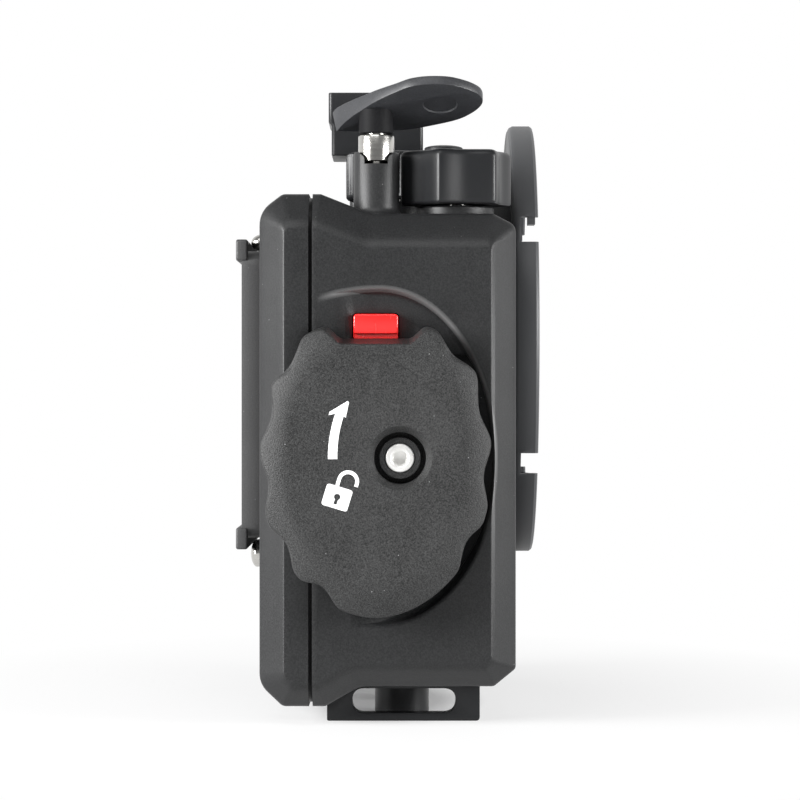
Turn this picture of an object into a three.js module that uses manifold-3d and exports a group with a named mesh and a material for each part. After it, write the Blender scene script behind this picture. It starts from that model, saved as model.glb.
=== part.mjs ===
// Underwater camera housing: moulded front shell, hinged rear cover, side lock knob,
// top controls, front bayonet ring and foot. Millimetres, +Z up, the lens side faces -Y,
// the lock knob is on the -X side.
import * as THREE from "three";
import { mergeVertices } from "three/addons/utils/BufferGeometryUtils.js";
import Module from "manifold-3d";

const wasm = await Module();
wasm.setup();

// General
const overrun = 1;
const runningGap = 0.3;
const seatGap = 0.3;
const fineSides = 32;
const mediumSides = 16;
const smallSides = 10;
const plainSides = 10;
const sealSides = 5;
const filletSteps = 2;

// Body, seen from the side: front, back, top and bottom of the two mouldings
const bodyHalfWidth = 80;
const bodyFrontY = -28.5;
const coverBackY = 34.6;
const seamY = 21.5;
const seamWidth = 0.9;
const bodyTopZ = 125.9;
const bodyBottomZ = 9.5;
const flangeRise = 4.8;
const flangeDrop = 4.9;
const flangeLand = 2;
const flangeRun = 12.1;
const coverCutY = 5.7;
const coverTopCutZ = 4.3;
const coverBottomCutZ = 5.4;
const frontTopCutY = 5.6;
const frontTopCutZ = 2.9;
const frontBottomCutY = 5.4;
const frontBottomCutZ = 4.4;
const softCorner = 3;
const crispCorner = 1.2;
const coverEdgeCorner = 2.2;
const coverBackCorner = 6.5;
const wideCorner = 9;
const bevelDepth = 7;
const bevelTop = 8.2;
const bevelBottom = 5.9;
const bevelEnds = 6.15;
const bevelSteps = [
  { depth: 0, across: 1, up: 1.14 },
  { depth: 0.5, across: 0.91, up: 0.91 },
  { depth: 1.8, across: 0.74, up: 0.69 },
  { depth: 6.2, across: 0.11, up: 0.12 },
  { depth: 7.6, across: 0, up: 0 },
];

// Cavity and mouth of the front shell
const sideWall = 7;
const frontWall = 4.5;
const topWall = 4.9;
const bottomWall = 5;
const cavityCorner = 8;

// Port turret, opening and glass
const portCentreZ = 96.4;
const turretRadius = 47.5;
const turretDepth = 9.5;
const turretBackWall = 3;
const turretChamfer = 1.5;
const portOpeningRadius = 38.5;
const glassRadius = 41.5;
const glassThickness = 3;
const glassSeatDepth = 3.4;
const sealGrooveRadius = 40;
const sealGrooveWidth = 1.8;
const sealGrooveDepth = 1.1;
const portSealRadius = 0.55;

// Front bayonet ring
const ringRadius = 56.8;
const ringBoreRadius = 42.6;
const ringDiscThickness = 2.2;
const ringDepth = 6.6;
const ringRimWall = 4;
const ringEdgeBevel = 0.8;
const ringBackBevel = 1.6;
const upperGapTop = 30.1;
const upperGapBottom = 23.6;
const lowerGapTop = -29.9;
const lowerGapBottom = -35.1;
const hookDrop = 1.9;
const hookThickness = 1.8;
const hookInset = 0.8;
const hookLength = 7;
const lugReach = 2.6;
const lugThickness = 1.8;
const lugHalfAngle = 9;
const retainerWall = 4.2;
const retainerThickness = 2;
const spannerNotch = 3;

// Lock knob on the side, and what it covers
const knobCentreY = 5.9;
const knobCentreZ = 62.4;
const pivotZ = 66;
const knobHalfWidth = 28;
const knobUpperLength = 37.6;
const knobLowerLength = 35;
const knobGap = 1.2;
const knobThickness = 11;
const knobFootBevel = 0.6;
const knobEdgeRound = 0.5;
const knobSlopeWidth = 7;
const knobSlopeRise = 2.4;
const knobSlopeMiddle = 0.6;
const scallopDepth = 2.3;
const notchFloorHalfWidth = 7.8;
const notchRise = 31.9;
const notchSideWidth = 5.6;
const hornRise = 3.2;
const hornRound = 0.7;
const knobRoundUpperShare = 2.6;
const knobRoundLowerShare = 1.9;
const knobSamples = 72;
const rearScallopAngles = [43, 22, -5, -33, -60];
const frontScallopAngles = [49, 24, -2, -32];
const scallopHalfAngle = 13;
const knobCounterboreRadius = 7.5;
const knobCounterboreDepth = 6.4;
const knobStepRadius = 5.3;
const knobStepDepth = 1.2;
const knobBoreRadius = 3.3;
const camRadius = 19.8;
const camThickness = 2;
const camPocketDepth = 1.1;
const camNotchRadius = 4;
const bushWall = 0.8;
const screwShankRadius = 2;
const screwHeadRadius = 3.5;
const screwHeadHeight = 4;
const hexSocketRadius = 1.75;
const hexSocketDepth = 2;
const knobBossRadius = 9;
const knobBossDepth = 5;
const pivotBossRadius = 7;

// Recess in the shell's side round the knob
const recessCentreY = 5;
const recessCentreZ = 65.5;
const recessHalfWidth = 28.4;
const recessHalfHeight = 41.6;
const recessDepth = 2.4;
const recessSteps = [
  { depth: 0, inset: -1 },
  { depth: 0.5, inset: 0 },
  { depth: 1.35, inset: 0.45 },
  { depth: 2.4, inset: 1.9 },
];
const recessRampStartY = 19.6;
const recessRamp = [
  { depth: 0.05, run: 0.2 },
  { depth: 0.4, run: 1.6 },
  { depth: 1.7, run: 5.5 },
  { depth: 2.4, run: 9 },
];
const innerRecessDepth = 1.3;
const innerRecessMargin = 0.5;
const innerRecessReachY = 9;

// Release button in the knob's notch
const releaseWidth = 10.9;
const releaseHeight = 6.5;
const releaseZ = 97.75;
const releaseProud = 0.9;
const releaseLength = 6.3;
const releaseTravel = 4;
const releaseCorner = 1.2;
const releaseStepHeight = 1.7;
const releaseStepDepth = 1.2;
const releaseBossWall = 3;
const releaseFloor = 2;

// Keeper tongue on the cover, in its slot under the cam
const tongueHalfHeight = 8.5;
const tongueThickness = 2.8;
const tongueReach = 8.5;
const tongueGap = 0.3;

// Rear cover
const coverSkin = 3.6;
const plugGap = 1;
const plugWall = 3;
const plugReach = 5.4;
const plugCorner = 7;
const mainSealWidth = 2.2;
const mainSealStart = 1.6;
const mainGrooveDepth = 1.5;
const mainGrooveWidth = 2.6;
const mainSealBevel = 0.5;

// Window, frame and its lips on the cover
const frameSideInset = 18;
const frameHalfWidth = bodyHalfWidth - frameSideInset;
const frameTopZ = 117.3;
const frameBottomZ = 45.5;
const frameProud = 4.9;
const frameWall = 2.6;
const frameCorner = 5;
const frameFlange = 1.6;
const lipThickness = 2.9;
const lipHeight = 5.4;
const lipOverlap = 2.6;
const lipRound = 0.8;
const windowSideInset = 5;
const windowPanelGap = 6;
const windowRightX = frameHalfWidth - windowSideInset;
const windowTopZ = 112;
const windowBottomZ = 50.5;
const windowThickness = 3;
const windowLedge = 3.5;
const windowCorner = 4;
const frameLedge = 2;
const keyPanelInset = 5.8;
const keyPanelWidth = 32.2;
const keyPanelLeftX = -frameHalfWidth + keyPanelInset;
const keyPanelRightX = keyPanelLeftX + keyPanelWidth;
const windowLeftX = keyPanelRightX + windowPanelGap;
const frameScrewInset = 4.6;
const smallScrewHeadRadius = 2.3;
const smallScrewHeadHeight = 1.5;
const smallScrewShankRadius = 1.2;
const smallSocketRadius = 1.15;
const smallSocketDepth = 0.9;

// Hinge on the far side
const hingeOffset = 4.6;
const hingeRadius = 3.6;
const hingePinRadius = 1.5;
const hingePinHeadRadius = 2.4;
const hingePinHead = 1.2;
const hingeCentresZ = [96, 38];
const knuckleHeight = 9;
const knuckleGap = 0.4;
const hingeWebWidth = 3;

// Shutter tower, shaft and paddle
const towerInset = 14;
const towerX = -bodyHalfWidth + towerInset;
const towerRadius = 5.6;
const towerTopZ = 141.4;
const towerEdge = 0.7;
const towerFootRadius = 6.6;
const towerFootHeight = 1.2;
const towerNotchWidth = 5.8;
const towerNotchDepth = 3.1;
const towerNotchFlare = 1.5;
const shaftRadius = 4.45;
const shaftBoreRadius = 4.75;
const shaftShoulderRise = 4.3;
const shaftShoulderZ = towerTopZ + shaftShoulderRise;
const shaftSpigotRadius = 2.6;
const shaftSpigotLength = 3.9;
const shaftTopZ = shaftShoulderZ + shaftSpigotLength;
const shaftHeadDepth = 2.4;
const shaftHeadBottomZ = towerTopZ - shaftHeadDepth;
const shaftNeckRadius = 2;
const neckBoreRadius = 2.3;
const springSeatZ = 127.3;
const shaftFingerRadius = 3.6;
const shaftFingerHeight = 2;
const shaftReach = 8.6;
const shutterTravel = 3.5;
const shaftTopChamfer = 0.5;
const clipThickness = 0.8;
const clipWidth = 1.8;
const clipGrooveDepth = 0.4;
const clipSideGap = 0.2;
const springWireRadius = 0.5;
const springRadius = 3.3;
const springCoils = 5;
const springSteps = 6;
const springSides = 4;
const paddlePivotShift = 8;
const paddlePivotX = towerX + paddlePivotShift;
const paddleRise = 1.5;
const paddleLowZ = shaftShoulderZ + paddleRise;
const paddleTilt = 23;
const paddleRearY = 16;
const paddleLength = 37;
const paddleWidth = 26;
const paddleRearThickness = 4.3;
const paddleFrontThickness = 2.2;
const paddleEdge = 0.6;
const paddleHubRadius = 4.3;
const paddleHubRise = 5;
const paddleMarkRadius = 4.1;
const paddleMarkDepth = 0.5;
const paddleMarkInset = 15.5;
const paddleMarkY = -10;
const gripRidgeRadius = 0.7;
const gripRidgeLength = 9;
const gripRidgeYs = [-5.4, -9.1, -12.8];
const gripRidgeInset = 19;

// Lobed dial and knurled wheel
const dialShift = 6;
const dialX = towerX + dialShift;
const dialY = -14;
const dialRadius = 14.1;
const dialBottomZ = 128.5;
const dialHeight = 13.5;
const dialLobes = 6;
const dialLobeDepth = 2.4;
const dialLobeSharpShare = 0.5;
const dialTurn = 222;
const dialSamples = 48;
const dialEdge = 0.9;
const dialTopDish = 1;
const dialTopRim = 3;
const dialBossRadius = 9.5;
const wheelShift = 28;
const wheelX = towerX + wheelShift;
const wheelY = 2;
const wheelRadius = 11.8;
const wheelBottomZ = 131;
const wheelHeight = 12.3;
const wheelTeeth = 24;
const wheelToothDepth = 0.55;
const wheelEdge = 0.8;
const wheelTwist = 15;
const wheelBands = 2;
const controlBossGap = 0.4;
const wheelBossRadius = 8;
const controlShaftRadius = 3;
const controlBoreRadius = 3.3;
const fingerDiscRadius = 7;
const fingerDiscThickness = 3;
const fingerDiscDrop = 5;
const fingerDiscTabs = 6;
const fingerTabDepth = 1.2;
const shaftInsertDepth = 6;

// Button on the top
const topButtonShift = 16;
const topButtonX = wheelX + topButtonShift;
const topButtonY = -11.4;
const topButtonRadius = 5;
const topButtonTopZ = 146.6;
const topButtonLength = 9.8;
const topButtonTravel = 3;
const topTowerRadius = 6.6;
const topTowerTopZ = 140.6;
const topButtonCrown = 0.9;
const topStemRadius = 2;
const topStemReach = 7;
const topCounterboreDepth = 8.2;

// Buttons on the rear cover
const buttonBossDepth = 2.4;
const buttonBossWall = 1.4;
const buttonSinkGap = 0.4;
const buttonSeatDepth = 2.6;
const buttonSkirt = 0.3;
const buttonTravel = 1.5;
const upperKeyRoomHalfWidth = 4.6;
const upperKeyRoomFrontY = 24.4;
const upperKeyRoomTopZ = 125.2;
const upperKeyRoomRise = 8;
const buttonStemRadius = 1.6;
const buttonStemReach = 1.2;
const blackKey = { radius: 4, proud: 3.4, crown: 1.6, silver: false };
const upperSilverKey = { radius: 2.2, proud: 3.15, crown: 3, silver: true };
const lowerSilverKey = { radius: 3.5, proud: 3.2, crown: 1.6, silver: true };
const keyInset = 15.2;
const keyX = keyPanelLeftX + keyInset;
const keySpacing = 9.3;
const keyPadZ = 74;
const upperKeyZ = 103;
const silverButtonInset = 8.2;
const silverButtonX = keyPanelLeftX + silverButtonInset;
const upperSilverZ = 119.8;
const lowerSilverZ = 41.2;
const buttonClipWidth = 1.5;

// Shoe on its pedestal
const shoeHalfWidth = 12.4;
const shoeRearY = 18.9;
const shoeFrontY = -6.1;
const shoeBottomZ = 144.7;
const shoeTopZ = 161.3;
const shoeStepZ = 152.6;
const shoeStepInset = 0.8;
const shoeCorner = 1;
const shoeSlotHalfWidth = 9.3;
const shoeSlotHeight = 2.2;
const shoeLip = 2.1;
const shoeThroatHalfWidth = 6.3;
const shoeStopWall = 2.6;
const pedestalHalfWidth = 8.5;
const pedestalRearY = 13.4;
const pedestalFrontY = -4.4;
const pedestalFlare = 1.6;
const shoeScrewYs = [0.5, 9.5];
const shoeScrewDepth = 7;

// Foot under the body
const footEndInset = 18;
const footHalfLength = bodyHalfWidth - footEndInset;
const footRearY = 18.2;
const footFrontY = -19.9;
const footEndWall = 6.3;
const footPlate = 1.9;
const strapSlotRearY = 11.9;
const strapSlotFrontY = -13.9;
const strapSlotCentreZ = 5;
const strapSlotHalfHeight = 3.1;
const footBossRadius = 6.9;
const footBossY = -0.5;
const footBossInset = 23;
const footBossSpacing = footHalfLength - footBossInset;
const footCorner = 1;
const insertRadius = 4.4;
const insertBoreRadius = 3.2;
const insertLength = 7;
const insertInset = 0.4;
const footScrewShift = 0.5;
const footScrewX = footBossSpacing / 2 + footScrewShift;
const footScrewYs = [-13, 4];

// Cradle inside
const cradleSideRoom = 8.5;
const cradleHalfWidth = bodyHalfWidth - sideWall - cradleSideRoom;
const cradleFrontY = -22;
const cradleRearY = 14;
const cradleFloor = 3;
const cradlePostWidth = 4;
const cradlePostHeight = 42;
const cradleLip = 6;
const cradleSlotInset = 24.5;
const cradleSlotHalfWidth = cradleHalfWidth - cradleSlotInset;
const cradleSlotHalfDepth = 7;

// Derived places
const shellBackY = seamY;
const coverFrontY = seamY + seamWidth;
const flangeTopZ = bodyTopZ + flangeRise;
const flangeBottomZ = bodyBottomZ - flangeDrop;
const cavityHalfWidth = bodyHalfWidth - sideWall;
const cavityTopZ = bodyTopZ - topWall;
const cavityBottomZ = bodyBottomZ + bottomWall;
const cavityFrontY = bodyFrontY + frontWall;
const coverInnerY = coverBackY - coverSkin;
const knobBackX = -(bodyHalfWidth + knobGap);
const knobFaceX = knobBackX - knobThickness;
const recessFloorX = -(bodyHalfWidth - recessDepth);
const innerRecessX = recessFloorX + innerRecessDepth;
const camPocketX = -(bodyHalfWidth - camPocketDepth);
const hingeX = bodyHalfWidth + hingeOffset;
const hingeY = seamY + seamWidth / 2;

// Materials
const mattePlastic = new THREE.MeshStandardMaterial({ color: 0x26272a, roughness: 0.62, metalness: 0 });
const knobPlastic = new THREE.MeshStandardMaterial({ color: 0x2c2d2f, roughness: 0.7, metalness: 0 });
const darkPlastic = new THREE.MeshStandardMaterial({ color: 0x1c1d1f, roughness: 0.55, metalness: 0 });
const redPlastic = new THREE.MeshStandardMaterial({ color: 0xe02020, roughness: 0.3, metalness: 0 });
const blackMetal = new THREE.MeshStandardMaterial({ color: 0x24262b, roughness: 0.45, metalness: 0.6 });
const steel = new THREE.MeshStandardMaterial({ color: 0xc9c5bc, roughness: 0.25, metalness: 1 });
const brass = new THREE.MeshStandardMaterial({ color: 0xb08d4a, roughness: 0.35, metalness: 1 });
const rubber = new THREE.MeshStandardMaterial({ color: 0x151515, roughness: 0.85, metalness: 0 });
const clearPlastic = new THREE.MeshStandardMaterial({ color: 0xdfe8ea, roughness: 0.08, metalness: 0 });

// A closed geometry as a solid for joining and cutting
function solid(geometry) {
  const bare = new THREE.BufferGeometry();
  bare.setAttribute("position", geometry.getAttribute("position"));
  if (geometry.index) bare.setIndex(geometry.index);
  const merged = mergeVertices(bare);
  const places = merged.getAttribute("position").array;
  const corners = merged.index.array;
  const kept = [];
  let volume = 0;
  const a = new THREE.Vector3();
  const b = new THREE.Vector3();
  const c = new THREE.Vector3();
  for (let i = 0; i < corners.length; i += 3) {
    const [p, q, r] = [corners[i], corners[i + 1], corners[i + 2]];
    if (p === q || q === r || r === p) continue;
    kept.push(p, q, r);
    volume += a.fromArray(places, 3 * p).dot(b.fromArray(places, 3 * q).cross(c.fromArray(places, 3 * r)));
  }
  const triangles = volume < 0 ? kept.reverse() : kept;
  return new wasm.Manifold(new wasm.Mesh({
    numProp: 3,
    vertProperties: new Float32Array(places),
    triVerts: new Uint32Array(triangles),
  }));
}

function geometryOf(manifold) {
  const mesh = manifold.getMesh();
  const geometry = new THREE.BufferGeometry();
  geometry.setAttribute("position", new THREE.BufferAttribute(new Float32Array(mesh.vertProperties), 3));
  geometry.setIndex(new THREE.BufferAttribute(new Uint32Array(mesh.triVerts), 1));
  geometry.computeVertexNormals();
  return geometry;
}

function joined(...solids) {
  return solids.reduce((whole, piece) => whole.add(piece));
}

function cut(whole, ...cutters) {
  return cutters.reduce((left, cutter) => left.subtract(cutter), whole);
}

// A box between two corners
function block(low, high) {
  const size = high.map((value, i) => value - low[i]);
  const box = new THREE.BoxGeometry(...size);
  box.translate(...low.map((value, i) => value + size[i] / 2));
  return solid(box);
}

// Turns a geometry made along +Z so that its length lies along the named axis:
// X takes drawn (x, y) to (Y, Z), and Y takes drawn (x, y) to (X, Z) and its length to -Y
function laidAlong(axis, geometry) {
  const cycle = new THREE.Matrix4().set(0, 0, 1, 0, 1, 0, 0, 0, 0, 1, 0, 0, 0, 0, 0, 1);
  if (axis === "x") geometry.applyMatrix4(cycle);
  if (axis === "y") geometry.rotateX(Math.PI / 2);
  return geometry;
}

// A drawn outline pushed from one place to another along an axis, with chamfered ends if asked
function prism(axis, outline, from, to, chamfer = 0, holes = []) {
  const shape = new THREE.Shape(outline);
  shape.holes = holes.map((hole) => new THREE.Path(hole));
  const geometry = new THREE.ExtrudeGeometry(shape, {
    depth: to - from - 2 * chamfer,
    bevelEnabled: chamfer > 0,
    bevelThickness: chamfer,
    bevelSize: chamfer,
    bevelOffset: -chamfer,
    bevelSegments: 1,
  });
  const shift = axis === "y" ? to - chamfer : from + chamfer;
  laidAlong(axis, geometry);
  geometry.translate(axis === "x" ? shift : 0, axis === "y" ? shift : 0, axis === "z" ? shift : 0);
  return solid(geometry);
}

// A revolved profile of [radius, distance along the axis], about a line through the centre
function turned(axis, profile, centre = [0, 0, 0], sides = mediumSides) {
  const points = profile.map(([radius, along]) => new THREE.Vector2(radius, along));
  const ringShaped = profile.every(([radius]) => radius > 0);
  if (ringShaped) points.push(points[0].clone());
  const geometry = new THREE.LatheGeometry(points, sides);
  if (axis === "x") geometry.rotateZ(-Math.PI / 2);
  if (axis === "z") geometry.rotateX(Math.PI / 2);
  geometry.translate(...centre);
  return solid(geometry);
}

function rod(axis, centre, radius, from, to, sides = mediumSides) {
  return turned(axis, [[0, from], [radius, from], [radius, to], [0, to]], centre, sides);
}

function tube(axis, centre, outer, inner, from, to, sides = mediumSides) {
  return turned(axis, [[inner, from], [outer, from], [outer, to], [inner, to]], centre, sides);
}

// An outline from corners of [x, y, radius], each rounded by an arc of equal steps,
// or by one step if the corner is crisp
function rounded(corners, steps = filletSteps) {
  const points = [];
  corners.forEach(([x, y, radius], i) => {
    const here = new THREE.Vector2(x, y);
    const [px, py] = corners[(i + corners.length - 1) % corners.length];
    const [nx, ny] = corners[(i + 1) % corners.length];
    const back = new THREE.Vector2(px, py).sub(here);
    const ahead = new THREE.Vector2(nx, ny).sub(here);
    const half = back.angleTo(ahead) / 2;
    const reach = Math.min(radius / Math.tan(half), back.length() / 2, ahead.length() / 2);
    const start = here.clone().addScaledVector(back.normalize(), reach);
    const end = here.clone().addScaledVector(ahead.normalize(), reach);
    const curve = new THREE.QuadraticBezierCurve(start, here, end);
    points.push(...curve.getPoints(radius > crispCorner ? steps : 1));
  });
  return points;
}

function rectangle(left, right, bottom, top, radius, steps = filletSteps) {
  const corners = [[left, bottom], [right, bottom], [right, top], [left, top]];
  if (radius === 0) return corners.map(([x, y]) => new THREE.Vector2(x, y));
  return rounded(corners.map(([x, y]) => [x, y, radius]), steps);
}

function circle(x, y, radius, sides = mediumSides) {
  return new THREE.EllipseCurve(x, y, radius, radius).getPoints(sides).slice(0, sides);
}

// A skin over rings of equal count, closed by a flat cap at each end
function loft(rings) {
  const count = rings[0].length;
  const places = rings.flat().flatMap((point) => point.toArray());
  const corners = [];
  for (let ring = 0; ring < rings.length - 1; ring += 1) {
    for (let i = 0; i < count; i += 1) {
      const next = (i + 1) % count;
      const [a, b] = [ring * count + i, ring * count + next];
      corners.push(a, b, b + count, a, b + count, a + count);
    }
  }
  const ends = [[0, true], [rings.length - 1, false]];
  ends.forEach(([ring, first]) => {
    const flat = rings[ring].map((point) => flatPoint(point, rings[ring]));
    THREE.ShapeUtils.triangulateShape(flat, []).forEach(([a, b, c]) => {
      const face = [a, b, c].map((corner) => corner + ring * count);
      corners.push(...(first ? face.reverse() : face));
    });
  });
  const geometry = new THREE.BufferGeometry();
  geometry.setAttribute("position", new THREE.Float32BufferAttribute(places, 3));
  geometry.setIndex(corners);
  return solid(geometry);
}

// A ring's point in its own plane, for a ring square to X or to Z
function flatPoint(point, ring) {
  const squareToX = ring[0].x === ring[1].x && ring[1].x === ring[2].x;
  return squareToX ? new THREE.Vector2(point.y, point.z) : new THREE.Vector2(point.x, point.y);
}

// The body's outline from the side as [y, z, radius], starting under the rear cover
const bodyCorners = [
  [coverBackY - coverCutY, flangeBottomZ, coverEdgeCorner],
  [coverBackY, flangeBottomZ + coverBottomCutZ, coverBackCorner],
  [coverBackY, flangeTopZ - coverTopCutZ, coverBackCorner],
  [coverBackY - coverCutY, flangeTopZ, coverEdgeCorner],
  [seamY - flangeLand, flangeTopZ, crispCorner],
  [seamY - flangeLand - flangeRun, bodyTopZ, wideCorner],
  [bodyFrontY + frontTopCutY, bodyTopZ, crispCorner],
  [bodyFrontY, bodyTopZ - frontTopCutZ, softCorner],
  [bodyFrontY, bodyBottomZ + frontBottomCutZ, crispCorner],
  [bodyFrontY + frontBottomCutY, bodyBottomZ, crispCorner],
  [seamY - flangeLand - flangeRun, bodyBottomZ, wideCorner],
  [seamY - flangeLand * 2, flangeBottomZ, crispCorner],
];

// How far a bevel step is drawn in from an edge that faces (y, z)
function bevelInset(facing, step) {
  const height = facing.y > 0 ? bevelTop : bevelBottom;
  return Math.hypot(step.across * bevelEnds * facing.x, step.up * height * facing.y);
}

// The body's outline drawn in by one step of the bevel
function bodyOutline(step) {
  const count = bodyCorners.length;
  const edges = bodyCorners.map(([y, z], i) => {
    const [nextY, nextZ] = bodyCorners[(i + 1) % count];
    const facing = new THREE.Vector2(nextZ - z, y - nextY).normalize();
    return { facing, reach: facing.x * y + facing.y * z - bevelInset(facing, step) };
  });
  const corners = bodyCorners.map(([, , radius], i) => {
    const before = edges[(i + count - 1) % count];
    const after = edges[i];
    const area = before.facing.x * after.facing.y - before.facing.y * after.facing.x;
    const y = (before.reach * after.facing.y - after.reach * before.facing.y) / area;
    const z = (after.reach * before.facing.x - before.reach * after.facing.x) / area;
    return [y, z, radius];
  });
  return rounded(corners);
}

// Both mouldings as one solid, bevelled towards each side
function wholeBody() {
  const rings = (side) => bevelSteps.map((step) => {
    const x = side * (bodyHalfWidth - step.depth);
    return bodyOutline(step).map((p) => new THREE.Vector3(x, p.x, p.y));
  });
  return loft([...rings(-1), ...rings(1).reverse()]);
}

function behind(y) {
  const reach = bodyHalfWidth + overrun;
  return block([-reach, y, flangeBottomZ - overrun], [reach, coverBackY + overrun, flangeTopZ + overrun]);
}

function mouthOutline(margin, corner) {
  const side = cavityHalfWidth - margin;
  return rectangle(-side, side, cavityBottomZ + margin, cavityTopZ - margin, corner);
}

// Height of the knob's notch and of the two horns beside it
function notchHeight(y) {
  const notchHalfWidth = notchFloorHalfWidth + notchSideWidth;
  const along = THREE.MathUtils.smoothstep(Math.abs(y), notchFloorHalfWidth, notchHalfWidth);
  return notchRise + hornRise * along;
}

// The lower of two heights with the corner between them rounded
function softLower(a, b) {
  const low = Math.min(a, b);
  return low - hornRound * Math.log(Math.exp((low - a) / hornRound) + Math.exp((low - b) / hornRound));
}

// The knob's outline, drawn in by an inset: an egg, with finger scallops and a notch if gripped
function knobOutline(inset, gripped) {
  const points = [];
  for (let i = 0; i < knobSamples; i += 1) {
    const angle = (2 * Math.PI * i) / knobSamples;
    const [across, up] = [Math.cos(angle), Math.sin(angle)];
    const roundness = up > 0 ? knobRoundUpperShare : knobRoundLowerShare;
    const halfLength = (up > 0 ? knobUpperLength : knobLowerLength) - inset;
    const halfWidth = knobHalfWidth - inset;
    const stretch = (Math.abs(across) ** roundness + Math.abs(up) ** roundness) ** (-1 / roundness);
    const lean = THREE.MathUtils.radToDeg(Math.atan2(up, Math.abs(across)));
    const angles = across > 0 ? rearScallopAngles : frontScallopAngles;
    const nearest = Math.min(...angles.map((valley) => Math.abs(valley - lean)));
    const bite = 1 / 2 + Math.cos(Math.PI * Math.min(1, nearest / scallopHalfAngle)) / 2;
    const shrink = gripped ? 1 - (scallopDepth * bite) / halfWidth : 1;
    const y = across * stretch * halfWidth * shrink;
    const z = up * stretch * halfLength * shrink;
    points.push([y, gripped && z > 0 ? softLower(z, notchHeight(y) - inset) : z]);
  }
  return points;
}

function knobRing(x, inset, gripped) {
  const outline = knobOutline(inset, gripped);
  return outline.map(([y, z]) => new THREE.Vector3(x, y + knobCentreY, z + knobCentreZ));
}

// A smooth egg with a sloping rim, cut to the scalloped outline
function lockKnob() {
  const rimX = knobFaceX + knobSlopeRise;
  const egg = loft([
    knobRing(knobFaceX, knobSlopeWidth, false),
    knobRing(knobFaceX + knobSlopeRise * (1 - knobSlopeMiddle), knobSlopeWidth * knobSlopeMiddle, false),
    knobRing(rimX, 0, false),
    knobRing(knobBackX, -knobFootBevel, false),
  ]);
  const scalloped = loft([
    knobRing(knobFaceX - overrun, knobEdgeRound + knobSlopeRise / 2, true),
    knobRing(rimX, knobEdgeRound / 2, true),
    knobRing(rimX + knobSlopeRise, 0, true),
    knobRing(knobBackX - knobFootBevel, 0, true),
    knobRing(knobBackX, knobFootBevel, true),
  ]);
  const centre = [0, 0, pivotZ];
  const stepX = knobFaceX + knobCounterboreDepth;
  return cut(
    egg.intersect(scalloped),
    rod("x", centre, knobCounterboreRadius, knobFaceX - overrun, stepX, mediumSides),
    rod("x", centre, knobStepRadius, knobFaceX, stepX + knobStepDepth, mediumSides),
    rod("x", centre, knobBoreRadius, knobFaceX, knobBackX + overrun, mediumSides),
  );
}

// Flat disc under the knob, with a finger notch where it lets the cover go
function lockCam() {
  const innerX = knobBackX + camThickness;
  const whole = tube("x", [0, 0, pivotZ], camRadius, knobBoreRadius, knobBackX, innerX, fineSides);
  const notch = rod("x", [0, 0, pivotZ - camRadius], camNotchRadius, knobBackX - overrun, innerX + overrun);
  return cut(whole, notch);
}

function hexagonHole(radius, from, to) {
  return rod("z", [0, 0, 0], radius / Math.cos(Math.PI / 6), from, to, 6);
}

// A socket-head screw along Z with its head's top at zero
function socketScrew(headRadius, headHeight, shankRadius, length, socketRadius, socketDepth) {
  const edge = headRadius / 10;
  const body = turned("z", [
    [0, -headHeight - length],
    [shankRadius, -headHeight - length],
    [shankRadius, -headHeight],
    [headRadius, -headHeight],
    [headRadius, -edge],
    [headRadius - edge, 0],
    [0, 0],
  ], [0, 0, 0], plainSides);
  return cut(body, hexagonHole(socketRadius, -socketDepth, overrun));
}

function smallScrew(length) {
  return socketScrew(
    smallScrewHeadRadius, smallScrewHeadHeight, smallScrewShankRadius,
    length, smallSocketRadius, smallSocketDepth,
  );
}

// The recess round the knob: an egg-shaped cut with a rounded lip and sloping wall,
// whose floor runs out to nothing near the seam
function recessCutter() {
  const ring = (x, inset) => new THREE.EllipseCurve(
    recessCentreY, recessCentreZ, recessHalfWidth - inset, recessHalfHeight - inset,
  ).getPoints(fineSides).slice(0, fineSides).map((p) => new THREE.Vector3(x, p.x, p.y));
  const egg = loft([
    ring(-bodyHalfWidth - overrun, recessSteps[0].inset),
    ...recessSteps.map(({ depth, inset }) => ring(-bodyHalfWidth + depth, inset)),
  ]);
  const ramp = prism("z", [
    new THREE.Vector2(-bodyHalfWidth - overrun, recessRampStartY + overrun),
    ...recessRamp.map(({ depth, run }) => new THREE.Vector2(-bodyHalfWidth + depth, recessRampStartY - run)),
    new THREE.Vector2(recessFloorX, bodyFrontY - overrun),
    new THREE.Vector2(-bodyHalfWidth - overrun, bodyFrontY - overrun),
  ], bodyBottomZ, bodyTopZ);
  return egg.intersect(ramp);
}

// The deeper pocket close round the knob's front half
function innerRecessCutter() {
  const outerX = -bodyHalfWidth - overrun;
  const egg = loft([
    knobRing(outerX, -innerRecessMargin, false),
    knobRing(innerRecessX, -innerRecessMargin, false),
  ]);
  const nearSide = block(
    [-bodyHalfWidth - overrun, bodyFrontY, bodyBottomZ],
    [innerRecessX + overrun, innerRecessReachY, releaseZ - releaseHeight],
  );
  const keptBoss = rod("x", [0, 0, pivotZ], pivotBossRadius, outerX, innerRecessX + overrun);
  return cut(egg.intersect(nearSide), keptBoss);
}

function releaseOutline(margin) {
  const half = releaseWidth / 2 + margin;
  const rise = releaseHeight / 2 + margin;
  return rectangle(knobCentreY - half, knobCentreY + half, releaseZ - rise, releaseZ + rise, releaseCorner);
}

const releaseFaceX = -(bodyHalfWidth + releaseProud);
const releasePocketX = releaseFaceX + releaseLength + releaseTravel + seatGap;

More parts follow.
